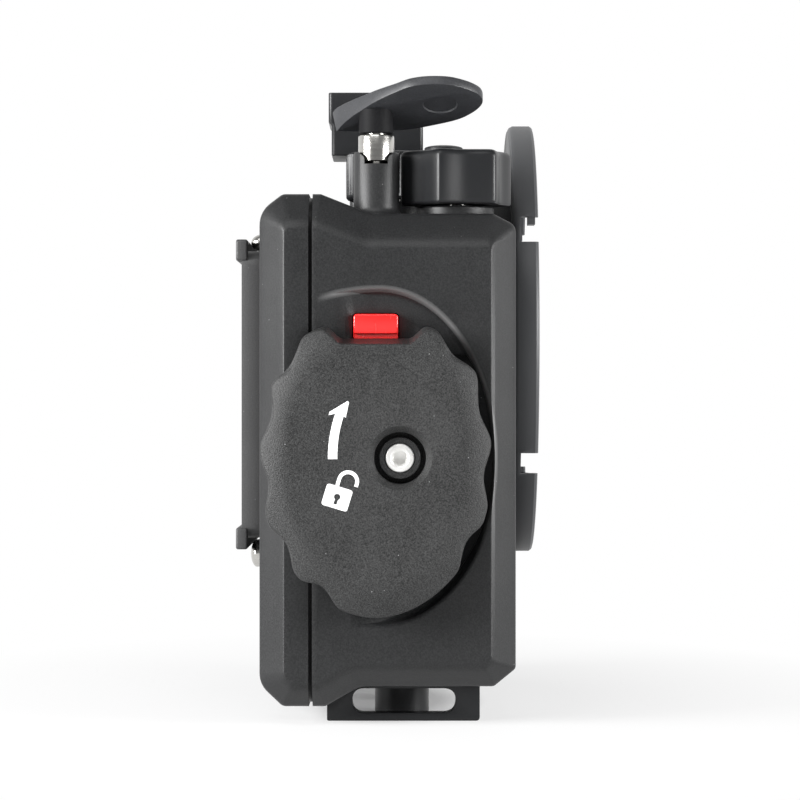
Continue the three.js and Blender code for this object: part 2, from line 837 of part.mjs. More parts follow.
function releaseButton() {
  const whole = prism("x", releaseOutline(0), releaseFaceX, releaseFaceX + releaseLength, releaseCorner / 3);
  const stepTop = releaseZ - releaseHeight / 2 + releaseStepHeight;
  const step = block(
    [releaseFaceX - overrun, knobCentreY - releaseWidth, releaseZ - releaseHeight],
    [releaseFaceX + releaseStepDepth, knobCentreY + releaseWidth, stepTop],
  );
  return cut(whole, step);
}

function releaseBoss() {
  const half = releaseWidth / 2 + releaseBossWall;
  return prism("x", rectangle(
    knobCentreY - half,
    knobCentreY + half,
    releaseZ - releaseHeight / 2 - releaseBossWall,
    releaseZ + releaseHeight / 2 + releaseBossWall,
    releaseBossWall,
  ), -cavityHalfWidth - overrun, releasePocketX + releaseFloor);
}

const tongueOuterX = camPocketX + tongueGap;

function tongueBox(margin, backY) {
  return block(
    [tongueOuterX - margin, coverFrontY - tongueReach - margin, pivotZ - tongueHalfHeight - margin],
    [tongueOuterX + tongueThickness + margin, backY, pivotZ + tongueHalfHeight + margin],
  );
}

// Towers, bosses and pads that stand on the shell's top
function topTowers() {
  const tower = turned("z", [
    [0, cavityTopZ],
    [towerFootRadius, cavityTopZ],
    [towerFootRadius, bodyTopZ + towerFootHeight / 2],
    [towerRadius, bodyTopZ + towerFootHeight],
    [towerRadius, towerTopZ - towerEdge],
    [towerRadius - towerEdge, towerTopZ],
    [0, towerTopZ],
  ], [towerX, knobCentreY, 0]);
  const dialBossTop = dialBottomZ - controlBossGap;
  const dialBoss = rod("z", [dialX, dialY, 0], dialBossRadius, cavityTopZ, dialBossTop);
  const wheelBossTop = wheelBottomZ - controlBossGap;
  const wheelBoss = rod("z", [wheelX, wheelY, 0], wheelBossRadius, cavityTopZ, wheelBossTop);
  const buttonTower = turned("z", [
    [0, cavityTopZ],
    [topTowerRadius, cavityTopZ],
    [topTowerRadius, topTowerTopZ - towerEdge],
    [topTowerRadius - towerEdge, topTowerTopZ],
    [0, topTowerTopZ],
  ], [topButtonX, topButtonY, 0]);
  return joined(tower, dialBoss, wheelBoss, buttonTower, pedestal());
}

function pedestal() {
  const ring = (z, flare) => rectangle(
    -pedestalHalfWidth - flare, pedestalHalfWidth + flare,
    pedestalFrontY - flare, pedestalRearY + flare, softCorner,
  ).map((p) => new THREE.Vector3(p.x, p.y, z));
  return loft([
    ring(cavityTopZ + overrun, pedestalFlare),
    ring(bodyTopZ, pedestalFlare),
    ring(bodyTopZ + pedestalFlare, 0),
    ring(shoeBottomZ, 0),
  ]);
}

function topBores() {
  const under = cavityTopZ - overrun;
  const towerNotch = prism("x", [
    new THREE.Vector2(knobCentreY - towerNotchWidth / 2, towerTopZ - towerNotchDepth),
    new THREE.Vector2(knobCentreY + towerNotchWidth / 2, towerTopZ - towerNotchDepth),
    new THREE.Vector2(knobCentreY + towerNotchWidth / 2, towerTopZ - towerNotchFlare),
    new THREE.Vector2(knobCentreY + towerNotchWidth / 2 + towerNotchFlare, towerTopZ),
    new THREE.Vector2(knobCentreY + towerNotchWidth / 2 + towerNotchFlare, towerTopZ + overrun),
    new THREE.Vector2(knobCentreY - towerNotchWidth / 2 - towerNotchFlare, towerTopZ + overrun),
    new THREE.Vector2(knobCentreY - towerNotchWidth / 2 - towerNotchFlare, towerTopZ),
    new THREE.Vector2(knobCentreY - towerNotchWidth / 2, towerTopZ - towerNotchFlare),
  ], towerX - towerRadius - overrun, towerX);
  return [
    rod("z", [towerX, knobCentreY, 0], shaftBoreRadius, springSeatZ, towerTopZ + overrun),
    rod("z", [towerX, knobCentreY, 0], neckBoreRadius, under, springSeatZ + overrun, smallSides),
    towerNotch,
    rod("z", [dialX, dialY, 0], controlBoreRadius, under, dialBottomZ, smallSides),
    rod("z", [wheelX, wheelY, 0], controlBoreRadius, under, wheelBottomZ, smallSides),
    rod("z", [topButtonX, topButtonY, 0], topButtonRadius + runningGap, topTowerTopZ - topCounterboreDepth,
      topTowerTopZ + overrun),
    rod("z", [topButtonX, topButtonY, 0], neckBoreRadius, under, topTowerTopZ, smallSides),
    ...shoeScrewYs.map((y) => rod("z", [0, y, 0], smallScrewShankRadius + runningGap / 2,
      shoeBottomZ - shoeScrewDepth, shoeBottomZ + overrun, smallSides)),
  ];
}

// Turret for the port: a short drum on the front that rises above the body's top
function turret() {
  const centre = [0, 0, portCentreZ];
  const backY = bodyFrontY + turretDepth;
  const drum = turned("y", [
    [0, bodyFrontY],
    [turretRadius, bodyFrontY],
    [turretRadius, backY - turretChamfer],
    [turretRadius - turretChamfer, backY],
    [0, backY],
  ], centre, fineSides);
  return drum;
}

function portCuts() {
  const centre = [0, 0, portCentreZ];
  const seatY = bodyFrontY + glassSeatDepth;
  const innerBack = bodyFrontY + turretDepth - turretBackWall;
  return [
    rod("y", centre, portOpeningRadius, bodyFrontY - overrun, innerBack, fineSides),
    rod("y", centre, glassRadius + runningGap, bodyFrontY - overrun, seatY, fineSides),
    tube("y", centre, sealGrooveRadius + sealGrooveWidth / 2, sealGrooveRadius - sealGrooveWidth / 2,
      seatY - overrun, seatY + sealGrooveDepth, fineSides),
  ];
}

// One hinge leaf's barrels for a list of [bottom, top] heights, with webs to the wall
function knuckles(levels, webFromY, webToY) {
  return joined(...levels.map(([low, high]) => {
    const barrel = rod("z", [hingeX, hingeY, 0], hingeRadius, low, high);
    const wall = bodyHalfWidth - hingeWebWidth;
    return barrel.add(block([wall, webFromY, low], [hingeX, webToY, high]));
  }));
}

function hingeLevels(centreZ) {
  const half = knuckleHeight / 2;
  const outer = half + knuckleGap;
  return {
    cover: [[centreZ - half, centreZ + half]],
    shell: [
      [centreZ - outer - knuckleHeight, centreZ - outer],
      [centreZ + outer, centreZ + outer + knuckleHeight],
    ],
  };
}

function pinBore() {
  return rod("z", [hingeX, hingeY, 0], hingePinRadius + runningGap, bodyBottomZ, bodyTopZ, smallSides);
}

// Room in one moulding for the barrels of the other
function barrelRoom(levels, fromY, toY) {
  return levels.map(([low, high]) => {
    const roomRadius = hingeRadius + 2 * runningGap;
    const room = rod("z", [hingeX, hingeY, 0], roomRadius, low - knuckleGap, high + knuckleGap);
    const slab = block(
      [bodyHalfWidth - bevelDepth - hingeWebWidth, fromY, low - knuckleGap - overrun],
      [hingeX + hingeRadius + overrun, toY, high + knuckleGap + overrun],
    );
    return room.intersect(slab);
  });
}

function frontShell() {
  const levels = hingeCentresZ.map(hingeLevels);
  const shellLevels = levels.flatMap((set) => set.shell);
  const coverLevels = levels.flatMap((set) => set.cover);
  const pivot = [0, 0, pivotZ];
  const wallX = -cavityHalfWidth;
  const lockBoss = rod("x", pivot, knobBossRadius, wallX - overrun, wallX + knobBossDepth);
  const cavity = prism("y", mouthOutline(0, cavityCorner), cavityFrontY, seamY + overrun);
  const topInside = block(
    [-cavityHalfWidth, cavityFrontY + overrun, cavityTopZ - topWall],
    [cavityHalfWidth, seamY - flangeLand, cavityTopZ],
  );
  const turretHollow = rod("y", [0, 0, portCentreZ], portOpeningRadius, cavityFrontY,
    bodyFrontY + turretDepth - turretBackWall, fineSides);
  let shell = cut(wholeBody(), behind(shellBackY)).add(turret());
  shell = shell.add(topTowers());
  shell = cut(shell, cavity, topInside, turretHollow, ...portCuts());
  shell = joined(shell, lockBoss, releaseBoss());
  shell = shell.add(knuckles(shellLevels, hingeY - hingeRadius - hingeOffset, hingeY - seamWidth / 2));
  const outerX = -bodyHalfWidth - overrun;
  const pivotBoss = rod("x", pivot, pivotBossRadius, camPocketX, innerRecessX + overrun);
  const camPocket = rod("x", pivot, camRadius + 2 * runningGap, outerX, camPocketX, fineSides);
  shell = cut(shell, recessCutter(), innerRecessCutter(), camPocket).add(pivotBoss);
  return cut(
    shell,
    prism("x", releaseOutline(runningGap), outerX, releasePocketX),
    tongueBox(tongueGap, seamY + overrun),
    rod("x", pivot, screwShankRadius + runningGap, -bodyHalfWidth, wallX + knobBossDepth / 2, smallSides),
    pinBore(),
    ...barrelRoom(coverLevels, bodyFrontY, seamY + overrun),
    ...topBores(),
    ...footScrewPlaces().map(([x, y]) => rod("z", [x, y, 0], smallScrewShankRadius + runningGap / 2,
      bodyBottomZ - overrun, bodyBottomZ + bottomWall / 2 + overrun, smallSides)),
  );
}

function footScrewPlaces() {
  return footScrewYs.flatMap((y) => [[-footScrewX, y], [footScrewX, y]]);
}

// Rear cover

const plugFrontY = coverFrontY - plugReach;

function mainSealBand(outerMargin, innerMargin, from, to, chamfer = 0) {
  const hole = mouthOutline(innerMargin, plugCorner);
  return prism("y", mouthOutline(outerMargin, plugCorner), from, to, chamfer, [hole]);
}

function windowOutline(margin) {
  return rectangle(
    windowLeftX - margin, windowRightX + margin, windowBottomZ - margin, windowTopZ + margin, windowCorner,
  );
}

const buttonSeatY = coverBackY - buttonSeatDepth;
const buttonBossY = coverInnerY - buttonBossDepth;

const rearButtons = [
  { name: "pad_key_centre", x: keyX, z: keyPadZ, ...blackKey },
  { name: "pad_key_up", x: keyX, z: keyPadZ + keySpacing, ...blackKey },
  { name: "pad_key_down", x: keyX, z: keyPadZ - keySpacing, ...blackKey },
  { name: "pad_key_inner", x: keyX + keySpacing, z: keyPadZ, ...blackKey },
  { name: "pad_key_outer", x: keyX - keySpacing, z: keyPadZ, ...blackKey },
  { name: "upper_key", x: keyX, z: upperKeyZ, ...blackKey },
  { name: "silver_key_upper", x: silverButtonX, z: upperSilverZ, ...upperSilverKey },
  { name: "silver_key_lower", x: silverButtonX, z: lowerSilverZ, ...lowerSilverKey },
];

function coverButtonBosses() {
  return rearButtons.map((button) => {
    const radius = button.radius + buttonBossWall;
    return rod("y", [button.x, 0, button.z], radius, buttonBossY, coverInnerY + overrun, plainSides);
  });
}

function coverButtonBores() {
  return rearButtons.flatMap((button) => {
    const centre = [button.x, 0, button.z];
    return [
      rod("y", centre, button.radius + buttonSinkGap, buttonSeatY, coverBackY + overrun, plainSides),
      rod("y", centre, buttonStemRadius + runningGap, buttonBossY - overrun, coverBackY, smallSides),
    ];
  });
}

function frameScrewPlaces() {
  const x = frameHalfWidth - frameScrewInset;
  const [low, high] = [frameBottomZ + frameScrewInset, frameTopZ - frameScrewInset];
  return [[-x, low], [x, low], [-x, high], [x, high]];
}

function rearCover() {
  const levels = hingeCentresZ.map(hingeLevels);
  const shellLevels = levels.flatMap((set) => set.shell);
  const coverLevels = levels.flatMap((set) => set.cover);
  const whole = wholeBody().intersect(behind(coverFrontY));
  const plug = prism("y", mouthOutline(plugGap, plugCorner), plugFrontY, coverFrontY + overrun);
  const hollow = prism("y", mouthOutline(plugGap + plugWall, plugCorner), plugFrontY - overrun, coverInnerY);
  const sealGroove = mainSealBand(
    0, plugGap + mainGrooveDepth, plugFrontY + mainSealStart, plugFrontY + mainSealStart + mainGrooveWidth,
  );
  const ledgeY = coverBackY - windowThickness - seatGap;
  const roomBottomZ = upperKeyRoomTopZ - upperKeyRoomRise - overrun;
  const upperKeyRoom = block(
    [silverButtonX - upperKeyRoomHalfWidth, upperKeyRoomFrontY, roomBottomZ],
    [silverButtonX + upperKeyRoomHalfWidth, coverInnerY, upperKeyRoomTopZ],
  );
  let cover = cut(whole.add(plug), hollow, sealGroove, upperKeyRoom);
  cover = joined(cover, ...coverButtonBosses(), tongueBox(0, coverFrontY + overrun));
  const webToY = hingeY + hingeRadius + hingeOffset;
  cover = cover.add(knuckles(coverLevels, coverFrontY, webToY - hingeRadius));
  return cut(
    cover,
    prism("y", windowOutline(seatGap), ledgeY, coverBackY + overrun),
    prism("y", windowOutline(-windowLedge), coverInnerY - overrun, coverBackY),
    pinBore(),
    ...coverButtonBores(),
    ...barrelRoom(shellLevels, coverFrontY - overrun, coverBackY + overrun),
    ...frameScrewPlaces().map(([x, z]) => rod("y", [x, 0, z], smallScrewShankRadius + runningGap / 2,
      coverInnerY + overrun, coverBackY + overrun, smallSides)),
  );
}

function mainSeal() {
  const start = plugFrontY + mainSealStart + (mainGrooveWidth - mainSealWidth) / 2;
  const innerMargin = plugGap + mainGrooveDepth - runningGap;
  return mainSealBand(runningGap, innerMargin, start, start + mainSealWidth, mainSealBevel);
}

function rearWindow() {
  return prism("y", windowOutline(0), coverBackY - windowThickness, coverBackY);
}

// Frame round the window and the keys, with a rail along its top and bottom
function windowFrame() {
  const frameBackY = coverBackY + frameProud;
  const railFrontY = frameBackY + lipThickness / 2 - lipThickness;
  const outer = rectangle(-frameHalfWidth, frameHalfWidth, frameBottomZ, frameTopZ, frameCorner);
  const innerHalfWidth = frameHalfWidth - frameWall;
  const inner = rectangle(
    -innerHalfWidth, innerHalfWidth, frameBottomZ + frameWall, frameTopZ - frameWall, frameCorner,
  );
  const windowHole = windowOutline(-frameLedge);
  const keyHole = rectangle(
    keyPanelLeftX, keyPanelRightX, windowBottomZ + frameLedge, windowTopZ - frameLedge, windowCorner,
  );
  const rail = (low) => prism("y", rectangle(
    -frameHalfWidth, frameHalfWidth, low, low + lipHeight, lipRound, 2,
  ), railFrontY, railFrontY + lipThickness, lipRound / 2);
  const bodyFrame = prism("y", outer, coverBackY, frameBackY, 0);
  const dish = prism("y", inner, coverBackY + frameFlange, frameBackY + overrun);
  const lowRail = rail(frameBottomZ + lipOverlap - lipHeight);
  const framed = joined(bodyFrame, rail(frameTopZ - lipOverlap), lowRail);
  const headRoom = smallScrewHeadRadius + 2 * runningGap;
  const corners = frameScrewPlaces().map(([x, z]) => rod("y", [x, 0, z], headRoom,
    coverBackY + frameFlange / 2, frameBackY + lipThickness, smallSides));
  return cut(
    framed,
    dish,
    prism("y", windowHole, coverBackY - overrun, frameBackY),
    prism("y", keyHole, coverBackY - overrun, frameBackY),
    ...corners,
    ...frameScrewPlaces().map(([x, z]) => rod("y", [x, 0, z], smallScrewShankRadius + runningGap / 2,
      coverBackY - overrun, frameBackY, smallSides)),
  );
}

// A push button along Z with its seat at zero: domed cap, stem and clip groove
function pushButton(radius, proud, crown, stemRadius, stemLength, grooveFrom) {
  const top = proud;
  const grooveTo = grooveFrom + clipThickness + 2 * clipSideGap;
  return turned("z", [
    [0, -stemLength],
    [stemRadius, -stemLength],
    [stemRadius, -grooveTo],
    [stemRadius - clipGrooveDepth, -grooveTo],
    [stemRadius - clipGrooveDepth, -grooveFrom],
    [stemRadius, -grooveFrom],
    [stemRadius, 0],
    [radius, 0],
    [radius, top - crown],
    [radius * Math.cos(Math.PI / 4), top - crown / 4],
    [0, top],
  ], [0, 0, 0], plainSides);
}

// A snap ring with its mouth towards +X, lying from zero up
function snapRing(innerRadius, width) {
  const ring = tube("z", [0, 0, 0], innerRadius + width, innerRadius, 0, clipThickness, smallSides);
  const mouth = block(
    [0, -innerRadius / 2, -overrun],
    [innerRadius + width + overrun, innerRadius / 2, clipThickness + overrun],
  );
  return cut(ring, mouth);
}

// Front ring with its rim split into segments, hooks at two gaps and lugs inside

function gapBlock(bottom, top) {
  const floorY = bodyFrontY - ringDiscThickness;
  return block(
    [-ringRadius - overrun, bodyFrontY - ringDepth - overrun, portCentreZ + bottom],
    [ringRadius + overrun, floorY, portCentreZ + top],
  );
}

function ringHook(side) {
  const frontY = bodyFrontY - ringDepth + hookInset;
  const outer = Math.sqrt(ringRadius ** 2 - upperGapTop ** 2) - ringEdgeBevel;
  const low = portCentreZ + upperGapTop - hookDrop;
  const high = portCentreZ + upperGapTop + ringEdgeBevel;
  const near = side * (outer - ringRimWall / 2 - hookLength / 2);
  const far = side * outer;
  return block([Math.min(near, far), frontY, low], [Math.max(near, far), frontY + hookThickness, high]);
}

function ringLug(angle) {
  const frontY = bodyFrontY - ringDepth;
  const inner = ringRadius - ringRimWall - lugReach;
  const outer = ringRadius - ringRimWall / 2;
  const points = [];
  const arc = (radius, from, to) => {
    for (let i = 0; i <= filletSteps; i += 1) {
      const turn = THREE.MathUtils.degToRad(angle + from + ((to - from) * i) / filletSteps);
      points.push(new THREE.Vector2(radius * Math.cos(turn), portCentreZ + radius * Math.sin(turn)));
    }
  };
  arc(outer, -lugHalfAngle, lugHalfAngle);
  arc(inner, lugHalfAngle, -lugHalfAngle);
  return prism("y", points, frontY, frontY + lugThickness);
}

function portRing() {
  const centre = [0, 0, portCentreZ];
  const discFrontY = bodyFrontY - ringDiscThickness;
  const rimFrontY = bodyFrontY - ringDepth;
  const inner = ringRadius - ringRimWall;
  const whole = turned("y", [
    [ringBoreRadius, discFrontY],
    [inner, discFrontY],
    [inner, rimFrontY + ringEdgeBevel],
    [inner + ringEdgeBevel, rimFrontY],
    [ringRadius - ringEdgeBevel, rimFrontY],
    [ringRadius, rimFrontY + ringEdgeBevel],
    [ringRadius, bodyFrontY - ringBackBevel],
    [ringRadius - ringBackBevel, bodyFrontY],
    [ringBoreRadius, bodyFrontY],
  ], centre, fineSides + smallSides / 2);
  const ring = cut(whole, gapBlock(upperGapBottom, upperGapTop), gapBlock(lowerGapBottom, lowerGapTop));
  return joined(ring, ringHook(-1), ringHook(1), ringLug(90), ringLug(0), ringLug(180), ringLug(270));
}

function portRetainer() {
  const centre = [0, 0, portCentreZ];
  const backY = bodyFrontY - runningGap / 2;
  const outer = ringBoreRadius - runningGap;
  const ring = turned("y", [
    [outer - retainerWall + retainerThickness / 2, backY - retainerThickness],
    [outer, backY - retainerThickness],
    [outer, backY],
    [outer - retainerWall, backY],
    [outer - retainerWall, backY - retainerThickness / 2],
  ], centre, fineSides);
  const notch = (z) => block(
    [-spannerNotch / 2, backY - retainerThickness - overrun, z - spannerNotch / 2],
    [spannerNotch / 2, backY - retainerThickness / 2, z + spannerNotch / 2],
  );
  const reach = outer - retainerWall / 4;
  return cut(ring, notch(portCentreZ + reach), notch(portCentreZ - reach));
}

function portGlass() {
  const backY = bodyFrontY + glassThickness;
  const edge = glassThickness / 8;
  return turned("y", [
    [0, bodyFrontY],
    [glassRadius - edge, bodyFrontY],
    [glassRadius, bodyFrontY + edge],
    [glassRadius, backY - edge],
    [glassRadius - edge, backY],
    [0, backY],
  ], [0, 0, portCentreZ], fineSides);
}

function portSeal() {
  const y = bodyFrontY + glassSeatDepth + sealGrooveDepth - portSealRadius - clipSideGap / 4;
  const section = [];
  for (let i = 0; i < sealSides; i += 1) {
    const turn = (2 * Math.PI * i) / sealSides;
    section.push([sealGrooveRadius + portSealRadius * Math.cos(turn), y + portSealRadius * Math.sin(turn)]);
  }
  return turned("y", section, [0, 0, portCentreZ], fineSides);
}

// Shutter shaft, spring and paddle

function shutterShaft() {
  const clipTop = cavityTopZ - clipSideGap;
  return turned("z", [
    [0, cavityTopZ - shaftReach],
    [shaftFingerRadius, cavityTopZ - shaftReach],
    [shaftFingerRadius, cavityTopZ - shaftReach + shaftFingerHeight],
    [shaftNeckRadius, cavityTopZ - shaftReach + shaftFingerHeight],
    [shaftNeckRadius, clipTop - clipThickness - 2 * clipSideGap],
    [shaftNeckRadius - clipGrooveDepth, clipTop - clipThickness - 2 * clipSideGap],
    [shaftNeckRadius - clipGrooveDepth, clipTop],
    [shaftNeckRadius, clipTop],
    [shaftNeckRadius, shaftHeadBottomZ],
    [shaftRadius, shaftHeadBottomZ],
    [shaftRadius, shaftShoulderZ - shaftTopChamfer],
    [shaftRadius - shaftTopChamfer, shaftShoulderZ],
    [shaftSpigotRadius, shaftShoulderZ],
    [shaftSpigotRadius, shaftTopZ],
    [0, shaftTopZ],
  ], [towerX, knobCentreY, 0], mediumSides);
}

class Helix extends THREE.Curve {
  constructor(radius, bottom, top, coils) {
    super();
    Object.assign(this, { radius, bottom, top, coils });
  }

  getPoint(t, target = new THREE.Vector3()) {
    const turn = 2 * Math.PI * this.coils * t;
    return target.set(
      this.radius * Math.cos(turn),
      this.radius * Math.sin(turn),
      this.bottom + (this.top - this.bottom) * t,
    );
  }
}

function shutterSpring() {
  const bottom = springSeatZ + springWireRadius + seatGap;
  const top = shaftHeadBottomZ - springWireRadius - seatGap;
  const path = new Helix(springRadius, bottom, top, springCoils);
  const wire = new THREE.Shape(circle(0, 0, springWireRadius, springSides));
  const geometry = new THREE.ExtrudeGeometry(wire, {
    extrudePath: path,
    steps: springCoils * springSteps,
    bevelEnabled: false,
  });
  const points = path.getPoints(springCoils * springSteps);
  let least = Infinity;
  points.forEach((point, i) => points.slice(i + springSteps / 2).forEach((other) => {
    least = Math.min(least, point.distanceTo(other) - 2 * springWireRadius);
  }));
  console.log(`shutter spring: least gap between coils ${least.toFixed(2)} mm`);
  return solid(geometry);
}

// The paddle's outline with its pivot line on the right, seen from above
function paddleOutline() {
  const at = (widthShare, lengthShare) => new THREE.Vector2(
    -paddleWidth * widthShare, paddleRearY - paddleLength * lengthShare,
  );
  const outline = new THREE.Path();
  outline.moveTo(...at(0, 0).toArray());
  outline.bezierCurveTo(...at(0.02, 0.67), ...at(0.23, 1), ...at(0.635, 1));
  outline.bezierCurveTo(...at(0.83, 1), ...at(1, 0.85), ...at(1, 0.69));
  outline.bezierCurveTo(...at(1, 0.5), ...at(0.54, 0.2), ...at(0.04, 0));
  return outline.getPoints(2 * filletSteps + 2).slice(0, -1).reverse();
}

// Flat paddle thinned towards its front, then tilted with its outer edge up
function shutterPaddle() {
  const plate = prism("z", paddleOutline(), 0, paddleRearThickness, paddleEdge);
  const frontY = paddleRearY - paddleLength;
  const thinning = prism("x", [
    new THREE.Vector2(paddleRearY + overrun, paddleRearThickness),
    new THREE.Vector2(paddleRearY + overrun, 2 * paddleRearThickness),
    new THREE.Vector2(frontY - overrun, 2 * paddleRearThickness),
    new THREE.Vector2(frontY - overrun, paddleFrontThickness),
    new THREE.Vector2(paddleMarkY, paddleFrontThickness),
  ], -paddleWidth - overrun, overrun);
  const mark = rod("z", [-paddleMarkInset, paddleMarkY, 0], paddleMarkRadius, -overrun, paddleMarkDepth);
  const ridges = gripRidgeYs.map((y) => {
    const low = -gripRidgeInset - gripRidgeLength / 2;
    const high = low + gripRidgeLength;
    return rod("x", [0, y, paddleFrontThickness], gripRidgeRadius, low, high, smallSides / 2);
  });
  const tilt = new THREE.Matrix4().makeRotationY(THREE.MathUtils.degToRad(paddleTilt));
  tilt.setPosition(paddlePivotX, 0, paddleLowZ);
  const thin = joined(cut(plate, thinning, mark), ...ridges);
  const tilted = solid(geometryOf(thin).applyMatrix4(tilt));
  const hubLowZ = shaftShoulderZ + seatGap;
  const hub = rod("z", [towerX, knobCentreY, 0], paddleHubRadius, hubLowZ, paddleLowZ + paddleHubRise);
  const shaftHole = rod("z", [towerX, knobCentreY, 0], shaftSpigotRadius + runningGap / 2,
    hubLowZ - overrun, shaftTopZ + runningGap);
  return cut(tilted.add(hub), shaftHole);
}

// Lobed dial: a star-shaped grip with soft valleys
function dialRing(z, inset) {
  const points = [];
  for (let i = 0; i < dialSamples; i += 1) {
    const turn = (2 * Math.PI * i) / dialSamples;
    const phase = dialLobes * (turn - THREE.MathUtils.degToRad(dialTurn));
    const valley = ((1 - Math.cos(phase)) / 2) ** dialLobeSharpShare;
    const radius = dialRadius - inset - dialLobeDepth * valley;
    points.push(new THREE.Vector3(dialX + radius * Math.cos(turn), dialY + radius * Math.sin(turn), z));
  }
  return points;
}

function modeDial() {
  const top = dialBottomZ + dialHeight;
  const body = loft([
    dialRing(dialBottomZ, dialEdge / 2),
    dialRing(dialBottomZ + dialEdge / 2, 0),
    dialRing(top - dialEdge, 0),
    dialRing(top, dialEdge),
  ]);
  const dishRadius = dialRadius - dialLobeDepth - dialTopRim;
  return cut(
    body,
    rod("z", [dialX, dialY, 0], dishRadius, top - dialTopDish, top + overrun),
    rod("z", [dialX, dialY, 0], controlShaftRadius + runningGap / 2, dialBottomZ - overrun,
      dialBottomZ + shaftInsertDepth, smallSides),
  );
}

// Knurled wheel: teeth that lean round as they climb
function wheelRing(z, inset, twist) {
  const points = [];
  for (let i = 0; i < 2 * wheelTeeth; i += 1) {
    const turn = (Math.PI * i) / wheelTeeth + THREE.MathUtils.degToRad(twist);
    const radius = wheelRadius - inset - (i % 2) * wheelToothDepth;
    points.push(new THREE.Vector3(wheelX + radius * Math.cos(turn), wheelY + radius * Math.sin(turn), z));
  }
  return points;
}

function controlWheel() {
  const top = wheelBottomZ + wheelHeight;
  const rings = [wheelRing(wheelBottomZ, wheelEdge, 0)];
  for (let band = 0; band <= wheelBands; band += 1) {
    const z = wheelBottomZ + wheelEdge + ((wheelHeight - 2 * wheelEdge) * band) / wheelBands;
    rings.push(wheelRing(z, 0, (band % 2) * wheelTwist / 2));
  }
  rings.push(wheelRing(top, wheelEdge, 0));
  return cut(
    loft(rings),
    rod("z", [wheelX, wheelY, 0], wheelRadius - dialTopRim, top - dialTopDish, top + overrun),
    rod("z", [wheelX, wheelY, 0], controlShaftRadius + runningGap / 2, wheelBottomZ - overrun,
      wheelBottomZ + shaftInsertDepth, smallSides),
  );
}

// Shaft of a top control with a notched disc inside that turns the camera's own wheel
function controlShaft(bottomZ) {
  const discTop = cavityTopZ - fingerDiscDrop;
  const discBottom = discTop - fingerDiscThickness;
  const notches = [];
  for (let i = 0; i < fingerDiscTabs; i += 1) {
    const turn = (2 * Math.PI * i) / fingerDiscTabs;
    const place = [fingerDiscRadius * Math.cos(turn), fingerDiscRadius * Math.sin(turn), 0];
    notches.push(rod("z", place, fingerTabDepth, discBottom - overrun, discTop + overrun, smallSides / 2));
  }
  const shaft = turned("z", [
    [0, discBottom],
    [fingerDiscRadius, discBottom],
    [fingerDiscRadius, discTop],
    [controlShaftRadius, discTop],
    [controlShaftRadius, bottomZ + shaftInsertDepth - runningGap],
    [0, bottomZ + shaftInsertDepth - runningGap],
  ], [0, 0, 0], plainSides);
  return cut(shaft, ...notches);
}

// Shoe: a rail block with a slot open to the back and a stop at the front
function shoeBlock() {
  const ring = (z, rearInset) => rectangle(
    -shoeHalfWidth, shoeHalfWidth, shoeFrontY, shoeRearY - rearInset, shoeCorner,
  ).map((p) => new THREE.Vector3(p.x, p.y, z));
  const whole = loft([
    ring(shoeBottomZ, shoeStepInset),
    ring(shoeStepZ, shoeStepInset),
    ring(shoeStepZ + shoeStepInset, 0),
    ring(shoeTopZ, 0),
  ]);
  const floorZ = shoeTopZ - shoeLip - shoeSlotHeight;
  const slotFrontY = shoeFrontY + shoeStopWall;
  const slotRearY = shoeRearY + overrun;
  return cut(
    whole,
    block([-shoeSlotHalfWidth, slotFrontY, floorZ], [shoeSlotHalfWidth, slotRearY, floorZ + shoeSlotHeight]),
    block([-shoeThroatHalfWidth, slotFrontY, floorZ], [shoeThroatHalfWidth, slotRearY, shoeTopZ + overrun]),
    ...shoeScrewYs.flatMap((y) => [
      rod("z", [0, y, 0], smallScrewHeadRadius + runningGap, shoeStepZ, floorZ + overrun, smallSides),
      rod("z", [0, y, 0], smallScrewShankRadius + runningGap / 2, shoeBottomZ - overrun, floorZ, smallSides),
    ]),
  );
}

// Foot: two end walls with strap slots, a plate against the body and three socket bosses

function stadium(left, right, centreZ, halfHeight) {
  return rectangle(left, right, centreZ - halfHeight, centreZ + halfHeight, halfHeight, 2 * filletSteps);
}

const footBossXs = [-footBossSpacing, 0, footBossSpacing];

function foot() {
  const outline = rounded([
    [footFrontY, 0, footCorner],
    [footRearY, 0, footCorner],
    [footRearY, flangeBottomZ - seatGap, 0],
    [seamY - flangeLand * 2 - flangeDrop, flangeBottomZ - seatGap, 0],
    [seamY - flangeLand - flangeRun, bodyBottomZ - seatGap, 0],
    [seamY - flangeLand - flangeRun - softCorner, bodyBottomZ, 0],
    [footFrontY, bodyBottomZ, 0],
  ], 2);
  const whole = prism("x", outline, -footHalfLength, footHalfLength, footCorner / 2);
  const inside = footHalfLength - footEndWall;
  const plateZ = bodyBottomZ - footPlate;
  const room = block([-inside, footFrontY - overrun, -overrun], [inside, footRearY + overrun, plateZ]);
  const slot = prism("x", stadium(strapSlotFrontY, strapSlotRearY, strapSlotCentreZ, strapSlotHalfHeight),
    -footHalfLength - overrun, footHalfLength + overrun);
  const bossRod = (x, radius, low, high) => rod("z", [x, footBossY, 0], radius, low, high);
  const bosses = footBossXs.map((x) => bossRod(x, footBossRadius, 0, plateZ + footPlate / 2));
  const slotted = cut(whole, room, slot).add(joined(...bosses));
  return cut(
    slotted,
    ...footBossXs.map((x) => bossRod(x, insertRadius, -overrun, insertInset + insertLength)),
    ...footScrewPlaces().map(([x, y]) => rod("z", [x, y, 0], smallScrewShankRadius + runningGap / 2,
      0, bodyBottomZ + overrun, smallSides)),
  );
}

